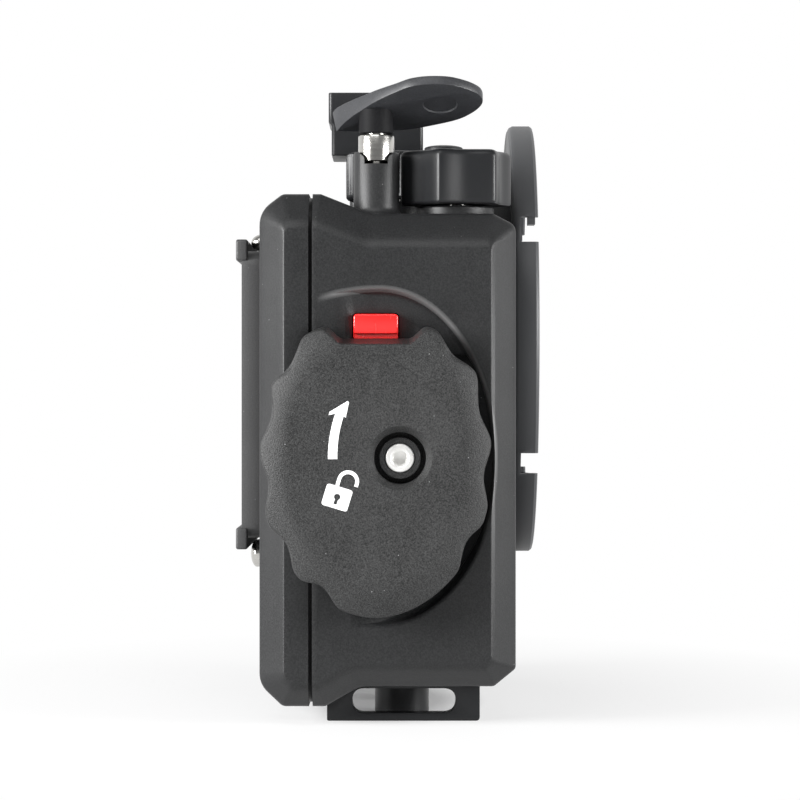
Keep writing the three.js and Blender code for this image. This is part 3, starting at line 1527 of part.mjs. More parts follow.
function socketInsert() {
  const edge = insertInset / 2;
  return turned("z", [
    [insertBoreRadius + edge, 0],
    [insertRadius - runningGap / 2, 0],
    [insertRadius - runningGap / 2, insertLength - edge],
    [insertBoreRadius, insertLength - edge],
    [insertBoreRadius, edge],
  ], [0, 0, 0], mediumSides);
}

// Tray that holds the camera: floor with a slot for its screw, two end posts and a front lip
function cradle() {
  const floorZ = cavityBottomZ + seatGap;
  const topZ = floorZ + cradleFloor;
  const postTop = topZ + cradlePostHeight;
  const floor = block([-cradleHalfWidth, cradleFrontY, floorZ], [cradleHalfWidth, cradleRearY, topZ]);
  const post = (side) => {
    const [a, b] = [side * cradleHalfWidth, side * (cradleHalfWidth - cradlePostWidth)];
    return block([Math.min(a, b), cradleFrontY, floorZ], [Math.max(a, b), cradleRearY - cradleLip, postTop]);
  };
  const lip = block(
    [-cradleHalfWidth, cradleFrontY, floorZ],
    [cradleHalfWidth, cradleFrontY + cradleFloor / 2, topZ + cradleLip],
  );
  const slot = prism("z", rectangle(
    -cradleSlotHalfWidth, cradleSlotHalfWidth, -cradleSlotHalfDepth, cradleSlotHalfDepth, cradleLip,
  ), floorZ - overrun, topZ + overrun);
  return cut(joined(floor, post(-1), post(1), lip), slot);
}

// Assembly

const knobReach = knobGap + knobThickness;
const hingeReach = hingeOffset + hingeRadius;
const railBackY = coverBackY + frameProud + lipThickness / 2;
const ringFrontY = bodyFrontY - ringDepth;

const housing = new THREE.Group();
housing.position.set((knobReach - hingeReach) / 2, -(railBackY + ringFrontY) / 2, 0);

function addPiece(name, manifold, material, place = [0, 0, 0], turn = [0, 0, 0], parent = housing) {
  const mesh = new THREE.Mesh(geometryOf(manifold), material);
  mesh.name = name;
  mesh.position.set(...place);
  mesh.rotation.set(...turn);
  parent.add(mesh);
  return mesh;
}

addPiece("front_shell", frontShell(), mattePlastic);
addPiece("port_ring", portRing(), blackMetal);
addPiece("port_retainer", portRetainer(), blackMetal);
addPiece("port_glass", portGlass(), clearPlastic);
addPiece("port_seal", portSeal(), rubber);
addPiece("camera_cradle", cradle(), darkPlastic);
addPiece("tripod_foot", foot(), blackMetal);
footBossXs.forEach((x, i) => {
  addPiece(`foot_insert_${i + 1}`, socketInsert(), brass, [x, footBossY, insertInset]);
});
footScrewPlaces().forEach(([x, y], i) => {
  const headZ = bodyBottomZ - footPlate - smallScrewHeadHeight;
  const screw = smallScrew(footPlate + bottomWall / 2);
  addPiece(`foot_screw_${i + 1}`, screw, steel, [x, y, headZ], [Math.PI, 0, 0]);
});
addPiece("cold_shoe", shoeBlock(), blackMetal);
shoeScrewYs.forEach((y, i) => {
  const headZ = shoeStepZ + smallScrewHeadHeight;
  const length = shoeStepZ - shoeBottomZ + shoeScrewDepth - overrun;
  addPiece(`shoe_screw_${i + 1}`, smallScrew(length), steel, [0, y, headZ]);
});

hingeCentresZ.forEach((centreZ, i) => {
  const half = knuckleHeight / 2 + knuckleGap + knuckleHeight;
  const pin = turned("z", [
    [0, -half],
    [hingePinRadius, -half],
    [hingePinRadius, half + seatGap],
    [hingePinHeadRadius, half + seatGap],
    [hingePinHeadRadius, half + seatGap + hingePinHead],
    [0, half + seatGap + hingePinHead],
  ], [0, 0, 0], smallSides);
  addPiece(`hinge_pin_${i + 1}`, pin, steel, [hingeX, hingeY, centreZ]);
});

addPiece("rear_cover", rearCover(), mattePlastic);
addPiece("main_seal", mainSeal(), rubber);
addPiece("rear_window", rearWindow(), clearPlastic);
addPiece("window_frame", windowFrame(), darkPlastic);
frameScrewPlaces().forEach(([x, z], i) => {
  const headY = coverBackY + frameFlange / 2 + smallScrewHeadHeight;
  const screw = smallScrew(frameFlange + overrun);
  addPiece(`frame_screw_${i + 1}`, screw, steel, [x, headY, z], [-Math.PI / 2, 0, 0]);
});

rearButtons.forEach((button) => {
  const seatY = coverBackY - buttonSkirt;
  const grooveFrom = seatY - buttonBossY + clipSideGap;
  const stemLength = grooveFrom + clipThickness + buttonStemReach;
  const cap = pushButton(
    button.radius, button.proud + buttonSkirt, button.crown, buttonStemRadius, stemLength, grooveFrom,
  );
  const look = button.silver ? steel : darkPlastic;
  addPiece(button.name, cap, look, [button.x, seatY, button.z], [-Math.PI / 2, 0, 0]);
  const clip = snapRing(buttonStemRadius - clipGrooveDepth + clipSideGap / 2, buttonClipWidth);
  const clipY = seatY - grooveFrom - clipSideGap - clipThickness;
  addPiece(`${button.name}_clip`, clip, steel, [button.x, clipY, button.z], [-Math.PI / 2, 0, 0]);
});

addPiece("lock_knob", lockKnob(), knobPlastic);
addPiece("lock_cam", lockCam(), darkPlastic);
const knobStepX = knobFaceX + knobCounterboreDepth + knobStepDepth;
const bushOuter = knobBoreRadius - runningGap;
const bush = tube("x", [0, 0, pivotZ], bushOuter, bushOuter - bushWall, knobStepX, camPocketX);
addPiece("lock_bush", bush, steel);
const lockScrew = socketScrew(
  screwHeadRadius, screwHeadHeight, screwShankRadius,
  -cavityHalfWidth - knobStepX, hexSocketRadius, hexSocketDepth,
);
const lockScrewX = knobStepX - seatGap - screwHeadHeight;
addPiece("lock_screw", lockScrew, steel, [lockScrewX, 0, pivotZ], [0, -Math.PI / 2, 0]);
addPiece("release_button", releaseButton(), redPlastic);

addPiece("shutter_paddle", shutterPaddle(), darkPlastic);
addPiece("shutter_shaft", shutterShaft(), steel);
addPiece("shutter_spring", shutterSpring(), steel, [towerX, knobCentreY, 0]);
const shaftClip = snapRing(shaftNeckRadius - clipGrooveDepth + clipSideGap / 2, clipWidth);
const shaftClipZ = cavityTopZ - 2 * clipSideGap - clipThickness;
addPiece("shutter_clip", shaftClip, steel, [towerX, knobCentreY, shaftClipZ]);
addPiece("mode_dial", modeDial(), darkPlastic);
addPiece("mode_dial_shaft", controlShaft(dialBottomZ), steel, [dialX, dialY, 0]);
addPiece("control_wheel", controlWheel(), darkPlastic);
addPiece("control_wheel_shaft", controlShaft(wheelBottomZ), steel, [wheelX, wheelY, 0]);

const topGroove = topButtonTopZ - topButtonLength - cavityTopZ + clipSideGap;
const topButton = pushButton(
  topButtonRadius, topButtonLength, topButtonCrown, topStemRadius, topGroove + topStemReach, topGroove,
);
addPiece("top_button", topButton, darkPlastic, [topButtonX, topButtonY, topButtonTopZ - topButtonLength]);
const topClip = snapRing(topStemRadius - clipGrooveDepth + clipSideGap / 2, clipWidth);
addPiece("top_button_clip", topClip, steel, [topButtonX, topButtonY, shaftClipZ]);

export default housing;
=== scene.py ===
import math

import bmesh
import bpy
from mathutils import Matrix, Vector


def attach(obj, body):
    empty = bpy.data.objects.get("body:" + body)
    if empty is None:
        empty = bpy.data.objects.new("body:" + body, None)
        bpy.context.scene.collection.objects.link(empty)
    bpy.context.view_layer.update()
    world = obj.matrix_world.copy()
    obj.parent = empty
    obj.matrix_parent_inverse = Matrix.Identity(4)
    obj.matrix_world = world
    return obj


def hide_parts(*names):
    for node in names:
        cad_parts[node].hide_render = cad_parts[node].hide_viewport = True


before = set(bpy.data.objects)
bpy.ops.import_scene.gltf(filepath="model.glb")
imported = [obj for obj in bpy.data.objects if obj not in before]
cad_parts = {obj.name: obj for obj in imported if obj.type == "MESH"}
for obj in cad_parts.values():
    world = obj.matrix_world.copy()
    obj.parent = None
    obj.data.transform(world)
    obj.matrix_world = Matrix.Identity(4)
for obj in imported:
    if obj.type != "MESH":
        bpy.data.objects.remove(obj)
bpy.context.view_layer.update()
print("frame loaded")

# shapes are drawn in millimetres on the case's own axes, lock knob at -X and lens at -Y,
# then moved into the frame; points closer than merge become one
drawing = {"shift": Vector((2.0, -2.925, 0.0)), "scale": 0.001, "merge": 0.0005}


# shader maths, node trees and materials are made with these three small classes
class Field:
    def __init__(self, tree, socket):
        self.tree = tree
        self.socket = socket

    def combine(self, operation, left, right):
        made = self.tree.nodes.new("ShaderNodeMath")
        made.operation = operation
        for index, value in enumerate((left, right)):
            if isinstance(value, Field):
                self.tree.links.new(value.socket, made.inputs[index])
            else:
                made.inputs[index].default_value = value
        return Field(self.tree, made.outputs[0])

    def __add__(self, other):
        return self.combine("ADD", self, other)

    def __radd__(self, other):
        return self.combine("ADD", other, self)

    def __sub__(self, other):
        return self.combine("SUBTRACT", self, other)

    def __rsub__(self, other):
        return self.combine("SUBTRACT", other, self)

    def __mul__(self, other):
        return self.combine("MULTIPLY", self, other)

    def __rmul__(self, other):
        return self.combine("MULTIPLY", other, self)

    def __truediv__(self, other):
        return self.combine("DIVIDE", self, other)

    def __gt__(self, other):
        return self.combine("GREATER_THAN", self, other)

    def __lt__(self, other):
        return self.combine("LESS_THAN", self, other)


class Nodes:
    def __init__(self, tree):
        self.tree = tree
        self.tree.nodes.clear()

    def node(self, kind, settings=None, inputs=None, output=0):
        made = self.tree.nodes.new(kind)
        for key, value in (settings or {}).items():
            setattr(made, key, value)
        for key, value in (inputs or {}).items():
            if isinstance(value, Field):
                self.tree.links.new(value.socket, made.inputs[key])
            else:
                made.inputs[key].default_value = value
        return Field(self.tree, made.outputs[output]) if len(made.outputs) else None

    def ramp(self, value, low, high):
        return self.node("ShaderNodeMapRange", None, {"Value": value, "From Min": low, "From Max": high})

    def length(self, vector):
        return self.node("ShaderNodeVectorMath", {"operation": "LENGTH"}, {0: vector}, "Value")

    def ray(self, kind):
        return self.node("ShaderNodeLightPath", output="Is " + kind + " Ray")


class Finish(Nodes):
    def __init__(self, name):
        self.material = bpy.data.materials.new(name)
        self.material.use_nodes = True
        super().__init__(self.material.node_tree)
        self.place = self.node("ShaderNodeTexCoord", output="Object")

    def stretched(self, scale):
        return self.node("ShaderNodeMapping", None, {"Vector": self.place, "Scale": scale})

    def noise(self, scale, detail, stretch=None):
        place = self.stretched(stretch) if stretch else self.place
        return self.node("ShaderNodeTexNoise", None, {"Vector": place, "Scale": scale, "Detail": detail})

    def specks(self, scale, size, clean=0.76):
        # round specks in the share of the cells that isn't clean
        inputs = {"Vector": self.place, "Scale": scale}
        cell = self.node("ShaderNodeTexVoronoi", None, inputs, "Distance")
        chance = self.node("ShaderNodeTexVoronoi", None, inputs, "Color")
        picked = self.node("ShaderNodeSeparateColor", None, {"Color": chance}, "Red")
        return (cell < size) * (picked > clean)

    def mixed(self, factor, first, second):
        inputs = {0: factor}
        for index, value in ((6, first), (7, second)):  # the colour sockets of the mix node
            inputs[index] = value if isinstance(value, Field) else (*value, 1.0)
        return self.node("ShaderNodeMix", {"data_type": "RGBA"}, inputs, 2)

    def bump(self, height, strength, distance, normal=None):
        inputs = {"Height": height, "Strength": strength, "Distance": distance}
        if normal:
            inputs["Normal"] = normal
        return self.node("ShaderNodeBump", None, inputs)

    def surface(self, shader):
        self.node("ShaderNodeOutputMaterial", None, {"Surface": shader})
        return self.material

    def shade(self, inputs):
        return self.surface(self.node("ShaderNodeBsdfPrincipled", None, inputs))


# moulded plastics: fine spark-eroded grain, faint clouding, rubbed edges, a few light specks of dust
plasticLooks = {
    "caseBlack": {"dark": (0.0085, 0.0088, 0.0092), "light": (0.0205, 0.0209, 0.0216),
                  "dust": (0.2, 0.2, 0.205), "grain": 2700, "cloud": 55, "speck": 420, "speckSize": 0.05,
                  "rough": 0.42, "spread": 0.12, "relief": 0.42, "depth": 0.00006, "ior": 1.38},
    "knobBlack": {"dark": (0.007, 0.0072, 0.0073), "light": (0.05, 0.0504, 0.0505),
                  "dust": (0.24, 0.24, 0.245), "grain": 3300, "cloud": 70, "speck": 380, "speckSize": 0.055,
                  "rough": 0.5, "spread": 0.16, "relief": 0.9, "depth": 0.00014, "ior": 1.36},
    "frameBlack": {"dark": (0.042, 0.042, 0.0425), "light": (0.062, 0.062, 0.0628),
                   "dust": (0.12, 0.12, 0.125), "grain": 3000, "cloud": 80, "speck": 420, "speckSize": 0.06,
                   "rough": 0.45, "spread": 0.12, "relief": 0.25, "depth": 0.00004, "ior": 1.4},
    # the lever's hub: the lever's plastic made nearly black, a painted shade so it matches the shaded underside
    # above it
    "hubShadedBlack": {"dark": (0.004, 0.004, 0.0045), "light": (0.008, 0.008, 0.009), "dust": (0.05, 0.05, 0.05),
                 "grain": 2600, "cloud": 60, "speck": 500, "speckSize": 0.04, "rough": 0.6, "spread": 0.1,
                 "relief": 0.3, "depth": 0.00005, "ior": 1.2},
    "leverBlack": {"dark": (0.02, 0.0208, 0.023), "light": (0.038, 0.0392, 0.0432),
                   "dust": (0.14, 0.14, 0.145), "grain": 2400, "cloud": 60, "speck": 500, "speckSize": 0.06,
                   "rough": 0.42, "spread": 0.12, "relief": 0.35, "depth": 0.00006, "ior": 1.42},
}
# the front shell's plastic is the case's plastic with a painted highlight along the lip of the knob's recess
plasticLooks["caseFrontBlack"] = {**plasticLooks["caseBlack"], "lip": True}
plasticWear = {
    "grainDetail": 3.0, "spark": (0.34, 0.68), "sparkShare": 0.8, "cloudDetail": 4.0, "cloudShare": 0.5,
    "cloudRelief": 0.25, "cloudDepth": 0.0001, "rubScale": 3, "rubDetail": 6.0, "rubStretch": (1, 1, 0.3),
    "rubbed": (0.62, 0.8), "rubShare": 0.35, "rubPolish": 0.05, "dustShare": 0.8,
}

# a painted highlight along the lip round the knob's recess, where the lip catches the light; in metres, because
# the shader measures in metres
lipHighlightForm = {"centre": (0.002075, 0.0655), "half": (0.0284, 0.0416), "rearHalf": 0.045, "width": 0.0011,
           "outerX": -0.0762, "rearEnd": (0.345, 0.24), "lowEnd": (-0.55, 0.1), "tone": (0.12, 0.12, 0.12)}


def paintedLipHighlight(finish):
    # a painted highlight: one soft light band on the side face, an egg in outline, which fades to the rear and
    # the bottom
    form = lipHighlightForm
    split = {axis: finish.node("ShaderNodeSeparateXYZ", None, {"Vector": finish.place}, axis) for axis in "XYZ"}
    side = split["Y"] - form["centre"][0]
    near, far = 1 / form["half"][0], 1 / form["rearHalf"]
    across = side * (near + (side > 0) * (far - near))
    up = (split["Z"] - form["centre"][1]) / form["half"][1]
    reach = finish.length(finish.node("ShaderNodeCombineXYZ", None, {"X": across, "Y": up}))
    away = finish.node("ShaderNodeMath", {"operation": "ABSOLUTE"}, {0: (reach - 1.0) * form["half"][1]})
    band = finish.ramp(away, form["width"], 0.0)
    ends = finish.ramp(across, *form["rearEnd"]) * finish.ramp(up, *form["lowEnd"])
    return band * (split["X"] < form["outerX"]) * ends


def mouldedPlastic(name):
    look, wear = plasticLooks[name], plasticWear
    finish = Finish(name)
    fine = finish.noise(look["grain"], wear["grainDetail"])
    cloud = finish.noise(look["cloud"], wear["cloudDetail"])
    dust = finish.specks(look["speck"], look["speckSize"])
    streaks = finish.noise(look["cloud"] * wear["rubScale"], wear["rubDetail"], wear["rubStretch"])
    rubbed = finish.ramp(streaks, *wear["rubbed"])
    spark = finish.ramp(fine, *wear["spark"])
    mottle = spark * wear["sparkShare"] + (cloud - 0.5) * wear["cloudShare"]
    tone = finish.mixed(mottle, look["dark"], look["light"])
    tone = finish.mixed(rubbed * wear["rubShare"], tone, look["light"])
    tone = finish.mixed(dust * wear["dustShare"], tone, look["dust"])
    # painted highlight along the recess's lip, mixed into the tone
    if "lip" in look:
        tone = finish.mixed(paintedLipHighlight(finish), tone, lipHighlightForm["tone"])
    rough = look["rough"] + (cloud - 0.5) * look["spread"] + (fine - 0.5) * look["spread"]
    normal = finish.bump(fine, look["relief"], look["depth"])
    normal = finish.bump(cloud, wear["cloudRelief"], wear["cloudDepth"], normal)
    return finish.shade({"Base Color": tone, "Roughness": rough - rubbed * wear["rubPolish"], "Normal": normal,
                         "IOR": look["ior"]})


# metals: anodised black, turned and polished steel, brass, with their turning lines
metalLooks = {
    "anodised": {"dark": (0.006, 0.0064, 0.0072), "light": (0.0125, 0.013, 0.0142), "grain": 3200,
                 "lines": (1, 1, 24), "rough": 0.36, "spread": 0.14, "metal": 0.05, "relief": 0.16,
                 "depth": 0.00003, "ior": 1.38},
    "ringAnodised": {"dark": (0.046, 0.0475, 0.05), "light": (0.07, 0.0715, 0.075), "grain": 1800,
                     "lines": (1, 14, 1), "rough": 0.45, "spread": 0.12, "metal": 0.15, "relief": 0.2,
                     "depth": 0.00003, "ior": 1.42},
    "steel": {"dark": (0.46, 0.45, 0.43), "light": (0.66, 0.65, 0.62), "grain": 900, "lines": (1, 1, 18),
              "rough": 0.2, "spread": 0.14, "metal": 1.0, "relief": 0.12, "depth": 0.00002, "ior": 1.5},
    "screwSteel": {"dark": (0.78, 0.78, 0.76), "light": (0.95, 0.94, 0.92), "grain": 1500, "lines": (12, 1, 1),
                   "rough": 0.42, "spread": 0.16, "metal": 0.7, "relief": 0.2, "depth": 0.00003, "ior": 1.5},
    "brass": {"dark": (0.36, 0.25, 0.1), "light": (0.55, 0.4, 0.18), "grain": 900, "lines": (1, 1, 16),
              "rough": 0.3, "spread": 0.16, "metal": 1.0, "relief": 0.15, "depth": 0.00003, "ior": 1.5},
}
metalWear = {"lineScale": 4, "lineDetail": 3.0, "lineShare": 0.6, "cloud": (70, 4.0), "cloudShare": 0.4,
             "grainDetail": 2.0, "grainShare": 0.5, "wear": (260, 5.0), "worn": (0.64, 0.78), "wornRough": 0.06}


def turnedMetal(name):
    look, wear = metalLooks[name], metalWear
    finish = Finish(name)
    lines = finish.noise(look["grain"] / wear["lineScale"], wear["lineDetail"], look["lines"])
    cloud = finish.noise(*wear["cloud"])
    fine = finish.noise(look["grain"], wear["grainDetail"])
    worn = finish.ramp(finish.noise(*wear["wear"]), *wear["worn"])
    tone = finish.mixed(lines * wear["lineShare"] + cloud * wear["cloudShare"], look["dark"], look["light"])
    rough = look["rough"] + (lines - 0.5) * look["spread"] + (cloud - 0.5) * look["spread"]
    normal = finish.bump(lines + fine * wear["grainShare"], look["relief"], look["depth"])
    return finish.shade({"Base Color": tone, "Roughness": rough + worn * wear["wornRough"],
                         "Metallic": look["metal"], "Normal": normal, "IOR": look["ior"]})


redLook = {"dark": (0.74, 0.012, 0.012), "light": (0.9, 0.02, 0.018), "scuffed": (0.95, 0.12, 0.1),
           "cloud": (160, 4.0), "grain": (2600, 2.0), "scuff": (900, 5.0, (1, 1, 0.3)),
           "scuffRange": (0.6, 0.74), "scuffShare": 0.25, "rough": 0.24, "spread": 0.1, "scuffRough": 0.2,
           "relief": 0.1, "depth": 0.00003, "coat": 0.25, "coatRough": 0.12}


def redPlastic():
    look = redLook
    finish = Finish("releaseRed")
    cloud = finish.noise(*look["cloud"])
    fine = finish.noise(*look["grain"])
    scuff = finish.ramp(finish.noise(*look["scuff"]), *look["scuffRange"])
    tone = finish.mixed(cloud, look["dark"], look["light"])
    tone = finish.mixed(scuff * look["scuffShare"], tone, look["scuffed"])
    rough = look["rough"] + (cloud - 0.5) * look["spread"] + scuff * look["scuffRough"]
    normal = finish.bump(fine, look["relief"], look["depth"])
    return finish.shade({"Base Color": tone, "Roughness": rough, "Normal": normal, "Coat Weight": look["coat"],
                         "Coat Roughness": look["coatRough"]})


rubberLook = {"dark": (0.011, 0.011, 0.011), "light": (0.03, 0.03, 0.031), "grain": (1500, 3.0),
              "bloom": (120, 4.0), "bloomRange": (0.45, 0.75), "rough": 0.66, "bloomRough": 0.14, "relief": 0.3,
              "depth": 0.00005}


def softRubber():
    look = rubberLook
    finish = Finish("sealRubber")
    fine = finish.noise(*look["grain"])
    bloom = finish.ramp(finish.noise(*look["bloom"]), *look["bloomRange"])
    tone = finish.mixed(bloom, look["dark"], look["light"])
    return finish.shade({"Base Color": tone, "Roughness": look["rough"] + bloom * look["bloomRough"],
                         "Normal": finish.bump(fine, look["relief"], look["depth"])})


# the sheets' own values are a tint and a roughness
sheetLook = {"smear": (45, 5.0), "dust": (260, 0.05), "dustTone": (0.6, 0.6, 0.6), "smearRough": 0.03,
             "ior": 1.49, "relief": 0.02, "depth": 0.0001,
             "sheets": {"frontGlass": ((0.95, 0.97, 0.98), 0.02), "rearWindow": ((0.9, 0.92, 0.93), 0.03)}}


def clearSheet(name):
    look = sheetLook
    tint, rough = look["sheets"][name]
    finish = Finish(name)
    smear = finish.noise(*look["smear"])
    dust = finish.specks(*look["dust"])
    tone = finish.mixed(dust, tint, look["dustTone"])
    normal = finish.bump(smear, look["relief"], look["depth"])
    return finish.shade({"Base Color": tone, "Roughness": rough + smear * look["smearRough"],
                         "IOR": look["ior"], "Transmission Weight": 1.0, "Normal": normal})


printLook = {"grain": (1700, 3.0), "pores": (0.3, 0.48), "dark": (0.62, 0.62, 0.62),
             "light": (0.86, 0.86, 0.86), "rough": 0.55, "relief": 0.2, "depth": 0.00003}


def printedWhite():
    look = printLook
    finish = Finish("printedMark")
    pores = finish.ramp(finish.noise(*look["grain"]), *look["pores"])
    tone = finish.mixed(pores, look["dark"], look["light"])
    return finish.shade({"Base Color": tone, "Roughness": look["rough"],
                         "Normal": finish.bump(pores, look["relief"], look["depth"])})


materials = {name: mouldedPlastic(name) for name in plasticLooks}
materials.update({name: turnedMetal(name) for name in metalLooks})
materials["releaseRed"] = redPlastic()
materials["sealRubber"] = softRubber()
materials.update({name: clearSheet(name) for name in sheetLook["sheets"]})
materials["printedMark"] = printedWhite()
print("materials ready")


# drawing tools
def drawnTowards(corner, start, end, steps):
    shares = [step / steps for step in range(steps + 1)]
    return [start * (1 - t) ** 2 + corner * 2 * t * (1 - t) + end * t * t for t in shares]


def rounded(corners, steps=8):
    points = []
    for index, (x, y, radius) in enumerate(corners):
        here = Vector((x, y))
        if radius == 0:
            points.append(here)
            continue
        back = Vector(corners[index - 1][:2]) - here
        ahead = Vector(corners[(index + 1) % len(corners)][:2]) - here
        half = back.angle(ahead) / 2
        reach = min(radius / math.tan(half), back.length / 2, ahead.length / 2)
        points += drawnTowards(here, here + back.normalized() * reach, here + ahead.normalized() * reach, steps)
    return points


def rectangle(left, right, low, high, radius=0, steps=8):
    corners = [(left, low), (right, low), (right, high), (left, high)]
    if radius == 0:
        return [Vector(corner) for corner in corners]
    return rounded([(x, y, radius) for x, y in corners], steps)


def laid(axis, along, point):
    if axis == "x":
        return Vector((along, point[0], point[1]))
    if axis == "y":
        return Vector((point[0], along, point[1]))
    return Vector((point[0], point[1], along))


def prism(axis, outline, low, high):
    made = bmesh.new()
    face = made.faces.new([made.verts.new(laid(axis, low, point)) for point in outline])
    grown = bmesh.ops.extrude_face_region(made, geom=[face])
    moved = [part for part in grown["geom"] if isinstance(part, bmesh.types.BMVert)]
    bmesh.ops.translate(made, verts=moved, vec=laid(axis, high - low, (0, 0)))
    bmesh.ops.recalc_face_normals(made, faces=made.faces)
    return made


def block(low, high):
    made = bmesh.new()
    bmesh.ops.create_cube(made, size=1)
    size = [b - a for a, b in zip(low, high)]
    bmesh.ops.scale(made, vec=size, verts=made.verts)
    bmesh.ops.translate(made, vec=[(a + b) / 2 for a, b in zip(low, high)], verts=made.verts)
    return made


def spun(axis, centre, profile, steps=64):
    # the profile's pairs are a radius and a place along the axis
    made = bmesh.new()
    verts = [made.verts.new((radius, 0, along)) for radius, along in profile]
    edges = [made.edges.new(pair) for pair in zip(verts, verts[1:])]
    if all(radius > 0 for radius, along in profile):
        edges.append(made.edges.new((verts[-1], verts[0])))
    bmesh.ops.spin(made, geom=verts + edges, cent=(0, 0, 0), axis=(0, 0, 1), angle=2 * math.pi, steps=steps,
                   use_merge=True)
    bmesh.ops.remove_doubles(made, verts=made.verts, dist=drawing["merge"])
    turn = {"x": Matrix.Rotation(math.pi / 2, 4, "Y"), "y": Matrix.Rotation(-math.pi / 2, 4, "X")}
    bmesh.ops.transform(made, matrix=turn.get(axis, Matrix.Identity(4)), verts=made.verts)
    bmesh.ops.translate(made, vec=centre, verts=made.verts)
    bmesh.ops.recalc_face_normals(made, faces=made.faces)
    return made


def rod(axis, centre, radius, low, high, steps=48):
    return spun(axis, centre, [(0, low), (radius, low), (radius, high), (0, high)], steps)


def tube(axis, centre, outer, inner, low, high, steps=64):
    return spun(axis, centre, [(inner, low), (outer, low), (outer, high), (inner, high)], steps)


def lofted(rings):
    made = bmesh.new()
    loops = []
    for ring in rings:
        verts = [made.verts.new(point) for point in ring]
        loops.append([made.edges.new((verts[i - 1], verts[i])) for i in range(len(verts))])
    for first, second in zip(loops, loops[1:]):
        bmesh.ops.bridge_loops(made, edges=first + second)
    for loop in (loops[0], loops[-1]):
        bmesh.ops.contextual_create(made, geom=loop)
    bmesh.ops.recalc_face_normals(made, faces=made.faces)
    return made


def eased(profile, radius, steps=4):
    # a profile from the axis out and back, with its inner corners rounded
    points = [profile[0]]
    for before, here, after in zip(profile, profile[1:], profile[2:]):
        corner = Vector(here)
        back, ahead = Vector(before) - corner, Vector(after) - corner
        reach = min(radius, back.length / 2.2, ahead.length / 2.2)  # leaves some of either side straight
        start, end = corner + back.normalized() * reach, corner + ahead.normalized() * reach
        points += drawnTowards(corner, start, end, steps)
    return points + [profile[-1]]


def curveThrough(points, steps):
    # a smooth closed line through the points, sharp only at the first
    places = [Vector(point) for point in points]
    run = [places[0]] + places + [places[0]] * 2
    drawn = []
    for before, start, end, after in zip(run, run[1:], run[2:], run[3:]):
        for step in range(steps):
            t = step / steps
            drawn.append(start + ((end - before) * t + (before * 2 - start * 5 + end * 4 - after) * t * t
                                  + (start * 3 - before - end * 3 + after) * t ** 3) / 2)
    return drawn


def bevelled(made, edges, width, segments):
    bmesh.ops.bevel(made, geom=edges, offset=width, offset_type="OFFSET", segments=segments, profile=0.5,
                    affect="EDGES", clamp_overlap=True, material=-1)
    return made


def turnedBy(made, degrees, axis, centre=(0, 0, 0)):
    matrix = Matrix.Rotation(math.radians(degrees), 3, axis)
    bmesh.ops.rotate(made, cent=centre, matrix=matrix, verts=made.verts)
    return made


def heldObject(made, name):
    mesh = bpy.data.meshes.new(name)
    made.to_mesh(mesh)
    made.free()
    held = bpy.data.objects.new(name, mesh)
    bpy.context.scene.collection.objects.link(held)
    return held


def withModifiers(held):
    return bpy.data.meshes.new_from_object(held.evaluated_get(bpy.context.evaluated_depsgraph_get()))


def combined(made, others, operation="DIFFERENCE"):
    base = heldObject(made, "work")
    tools = [heldObject(other, "tool") for other in others]
    for tool in tools:
        modifier = base.modifiers.new("work", "BOOLEAN")
        modifier.operation = operation
        modifier.solver = "EXACT"
        modifier.object = tool
    mesh = withModifiers(base)
    result = bmesh.new()
    result.from_mesh(mesh)
    for spare in [base] + tools:
        bpy.data.meshes.remove(spare.data)
    bpy.data.meshes.remove(mesh)
    bmesh.ops.remove_doubles(result, verts=result.verts, dist=drawing["merge"])
    return result


def joined(*parts):
    base = parts[0]
    for part in parts[1:]:
        mesh = bpy.data.meshes.new("work")
        part.to_mesh(mesh)
        part.free()
        base.from_mesh(mesh)
        bpy.data.meshes.remove(mesh)
    return base


def finished(made, name, body, replaced, material, ease=None, smooth=32):
    # ease is the width, the segments and the least angle of the rounded edges
    made.transform(Matrix.Diagonal((drawing["scale"],) * 3 + (1,)) @ Matrix.Translation(drawing["shift"]))
    piece = heldObject(made, name)
    piece.data.materials.append(materials[material])
    if ease:
        width, segments, angle = ease
        modifier = piece.modifiers.new("edges", "BEVEL")
        modifier.width = width * drawing["scale"]
        modifier.segments = segments
        modifier.limit_method = "ANGLE"
        modifier.angle_limit = math.radians(angle)
        modifier.use_clamp_overlap = True
        mesh = withModifiers(piece)
        piece.modifiers.clear()
        piece.data = mesh
    for face in piece.data.polygons:
        face.use_smooth = True
    piece.data.set_sharp_from_angle(angle=math.radians(smooth))
    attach(piece, body)
    if replaced:
        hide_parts(*replaced)
    return piece


# axes that several pieces share
lockPivot = (0, 0, 66)
portCentre = (0, 0, 96.4)
controlPlaces = {"shutter": (-66, 5.9, 0), "dial": (-60, -14, 0), "wheel": (-38, 2, 0),
                 "button": (-22, -11.4, 0)}

# the two mouldings of the case
caseForm = {
    "corners": [(28.9, 4.6, 2.2), (34.6, 10.0, 6.5), (34.6, 126.4, 7), (28.9, 130.7, 2.5), (19.5, 130.7, 1.2),
                (7.4, 125.9, 9), (-22.9, 125.9, 1.6), (-28.5, 123.0, 3), (-28.5, 13.9, 1.6), (-23.1, 9.5, 1.6),
                (9.8, 9.5, 8), (18.4, 4.6, 1.2)],
    "bevelAcross": 6.15, "bevelUp": 8.2, "bevelDown": 5.9,
    "stations": [(80, 1.05, 1.16), (79.97, 1.02, 1.08), (79.88, 0.99, 1.037), (79.7, 0.965, 0.97),
                 (79.4, 0.92, 0.89), (79.0, 0.86, 0.805), (78.2, 0.746, 0.683), (76.4, 0.49, 0.451),
                 (74.6, 0.23, 0.22), (73.7, 0.11, 0.105), (73.4, 0.07, 0.067), (72.9, 0.02, 0.022),
                 (72.4, 0.0, 0.0)],
    "shellBackY": 21.5, "coverFrontY": 22.4, "cavitySide": 73.0, "cavityTop": 121.0, "cavityLow": 14.5,
    "edge": (0.3, 2, 40),
}


